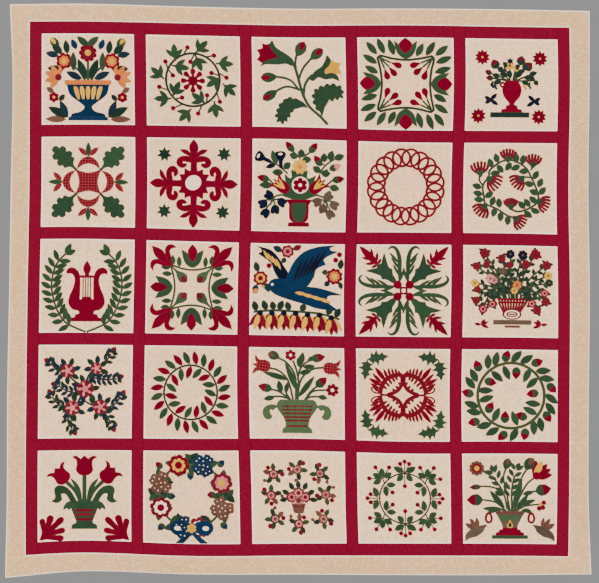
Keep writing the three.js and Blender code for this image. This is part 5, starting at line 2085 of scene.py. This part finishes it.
def sewShape(pile, info, lift, tone):
    line = tidyLine(info["line"], True) * unit
    if len(line) < 3:
        return
    if areaOf(line) < 0:
        line = line[::-1]
    inward = sideways(line, True)
    line = line - inward * drawing["full"] * unit
    turnIn = sewing["turnIn"] * mm
    inset = line + inward * turnIn
    low, high = line.min(axis=0), line.max(axis=0)
    step = sewing["inside"] * mm
    xs, ys = np.arange(low[0], high[0], step), np.arange(low[1], high[1], step * 0.87)
    gridX, gridY = np.meshgrid(xs, ys)
    gridX[1::2] += step / 2
    seeds = np.column_stack([gridX.ravel(), gridY.ravel()])
    inner = []
    if len(inset):
        keep = isInside(inset, line) & (segmentGaps(inset, line) > turnIn * 0.75)
        inner.append(inset[keep])
    if len(seeds):
        keep = isInside(seeds, line) & (segmentGaps(seeds, line) > turnIn * 2.4)
        inner.append(seeds[keep])
    extra = np.vstack(inner) if inner else np.zeros((0, 2))
    every = np.vstack([line, extra])
    made = delaunay_2d_cdt([Vector(p) for p in every], [], [list(range(len(line)))], 1, 1e-7)
    flat = np.array([tuple(v) for v in made[0]])
    faces = [tuple(f) for f in made[2] if len(f) == 3]
    if not faces:
        return
    faces = [f if signOf(flat, f) > 0 else f[::-1] for f in faces]
    used = sorted({i for f in faces for i in f})
    renumber = {old: new for new, old in enumerate(used)}
    flat = flat[used]
    faces = [tuple(renumber[i] for i in f) for f in faces]
    edges = {(f[k], f[(k + 1) % 3]) for f in faces for k in range(3)}
    rimEdges = [(a, b) for a, b in edges if (b, a) not in edges]
    rim = sorted({i for e in rimEdges for i in e})
    onRim = np.zeros(len(flat), bool)
    onRim[rim] = True
    gap = segmentGaps(flat, line)
    gap[onRim] = 0
    heights = lift + profileAt(gap, sewing["thickness"])
    under = {i: len(flat) + n for n, i in enumerate(rim)}
    allPoints = np.vstack([flat, flat[rim]])
    allHeights = np.append(heights, np.full(len(rim), -sewing["root"]))
    allFaces = list(faces)
    for a, b in rimEdges:
        allFaces.append((b, a, under[a], under[b]))
    allFaces += closeUnder(rimEdges, under)
    rims = np.append(np.clip(gap / sewing["rimWidth"], 0, 1), np.zeros(len(rim)))
    pile.put(allPoints, allHeights, allFaces, info, rims, tone)


def signOf(points, face):
    a, b, c = (points[i] for i in face[:3])
    return (b[0] - a[0]) * (c[1] - a[1]) - (c[0] - a[0]) * (b[1] - a[1])


def closeUnder(rimEdges, under):
    # the hidden underside of a patch, from the points of its rim alone
    follow = {}
    for a, b in rimEdges:
        follow.setdefault(a, []).append(b)
    if any(len(nexts) > 1 for nexts in follow.values()):
        return []
    out, left = [], set(follow)
    while left:
        start = min(left)
        loop, at = [], start
        while at in left:
            loop.append(at)
            left.discard(at)
            at = follow[at][0]
        out.append(tuple(under[i] for i in reversed(loop)))
    return out


def sewBand(pile, info, lift, tone):
    closed = info["closed"]
    line = tidyLine(info["line"], closed) * unit
    if len(line) < 2:
        return
    half = info["width"] * unit / 2
    side = sideways(line, closed)
    turnIn = sewing["turnIn"] * mm
    inner = [-half + turnIn, half - turnIn] if half > turnIn * 1.6 else [0.0]
    offsets = [-half, *inner, half]
    count, columns = len(line), len(offsets)
    flat = np.vstack([line + side * o for o in offsets] + [line - side * half, line + side * half])
    gaps = np.concatenate([np.full(count, half - abs(o)) for o in offsets] + [np.zeros(count)] * 2)
    heights = lift + profileAt(gaps, sewing["thickness"])
    heights[columns * count :] = -sewing["root"]
    faces = []
    last = count if closed else count - 1
    order = [*range(columns), columns + 1, columns]  # round the section, seen along the band
    for k in range(last):
        n = (k + 1) % count
        for c in range(len(order)):
            a, b = order[c], order[(c + 1) % len(order)]
            faces.append((a * count + k, a * count + n, b * count + n, b * count + k))
    if not closed:
        faces.append(tuple(o * count for o in order))
        faces.append(tuple(o * count + count - 1 for o in reversed(order)))
    rims = np.clip(gaps / sewing["rimWidth"], 0, 1)
    pile.put(flat, heights, faces, info, rims, tone)


def sewPatches(column, row, patches):
    pile = PatchPile(column, row)
    for info in sorted(patches, key=lambda p: p["level"]):
        lift = sewing["start"] + sewing["layer"] * info["level"] + sewing["loose"] * chance.random()
        tone = chance.random()
        if info["width"]:
            sewBand(pile, info, lift, tone)
        else:
            sewShape(pile, info, lift, tone)
    return pile


def rimSites(column, row, patches):
    # points along every patch edge, for the quilting that follows them
    sites = np.vstack([info["line"] * unit for info in patches])
    step = sewing["siteStep"]
    cells = np.unique(np.round(sites / step).astype(int), axis=0) * step
    return cells + blockMiddle(column, row)


total = 0
for row, cells in enumerate(patterns):
    for column, (name, draw, style) in enumerate(cells):
        place = f"r{row + 1}c{column + 1}"
        patches = draw()
        blockPiece = makeBlock(column, row, style, rimSites(column, row, patches))
        pile = sewPatches(column, row, patches)
        mesh = pile.mesh(f"patches_{place}")
        patchPiece = makePiece(f"patches_{place}", mesh, [f"{name}_{place}"])
        triangles = sum(len(p.vertices) - 2 for p in mesh.polygons)
        total += triangles
        print("  ", place, name, len(patches), "patches,", triangles, "triangles")
print("patch triangles", total)

print("finish")
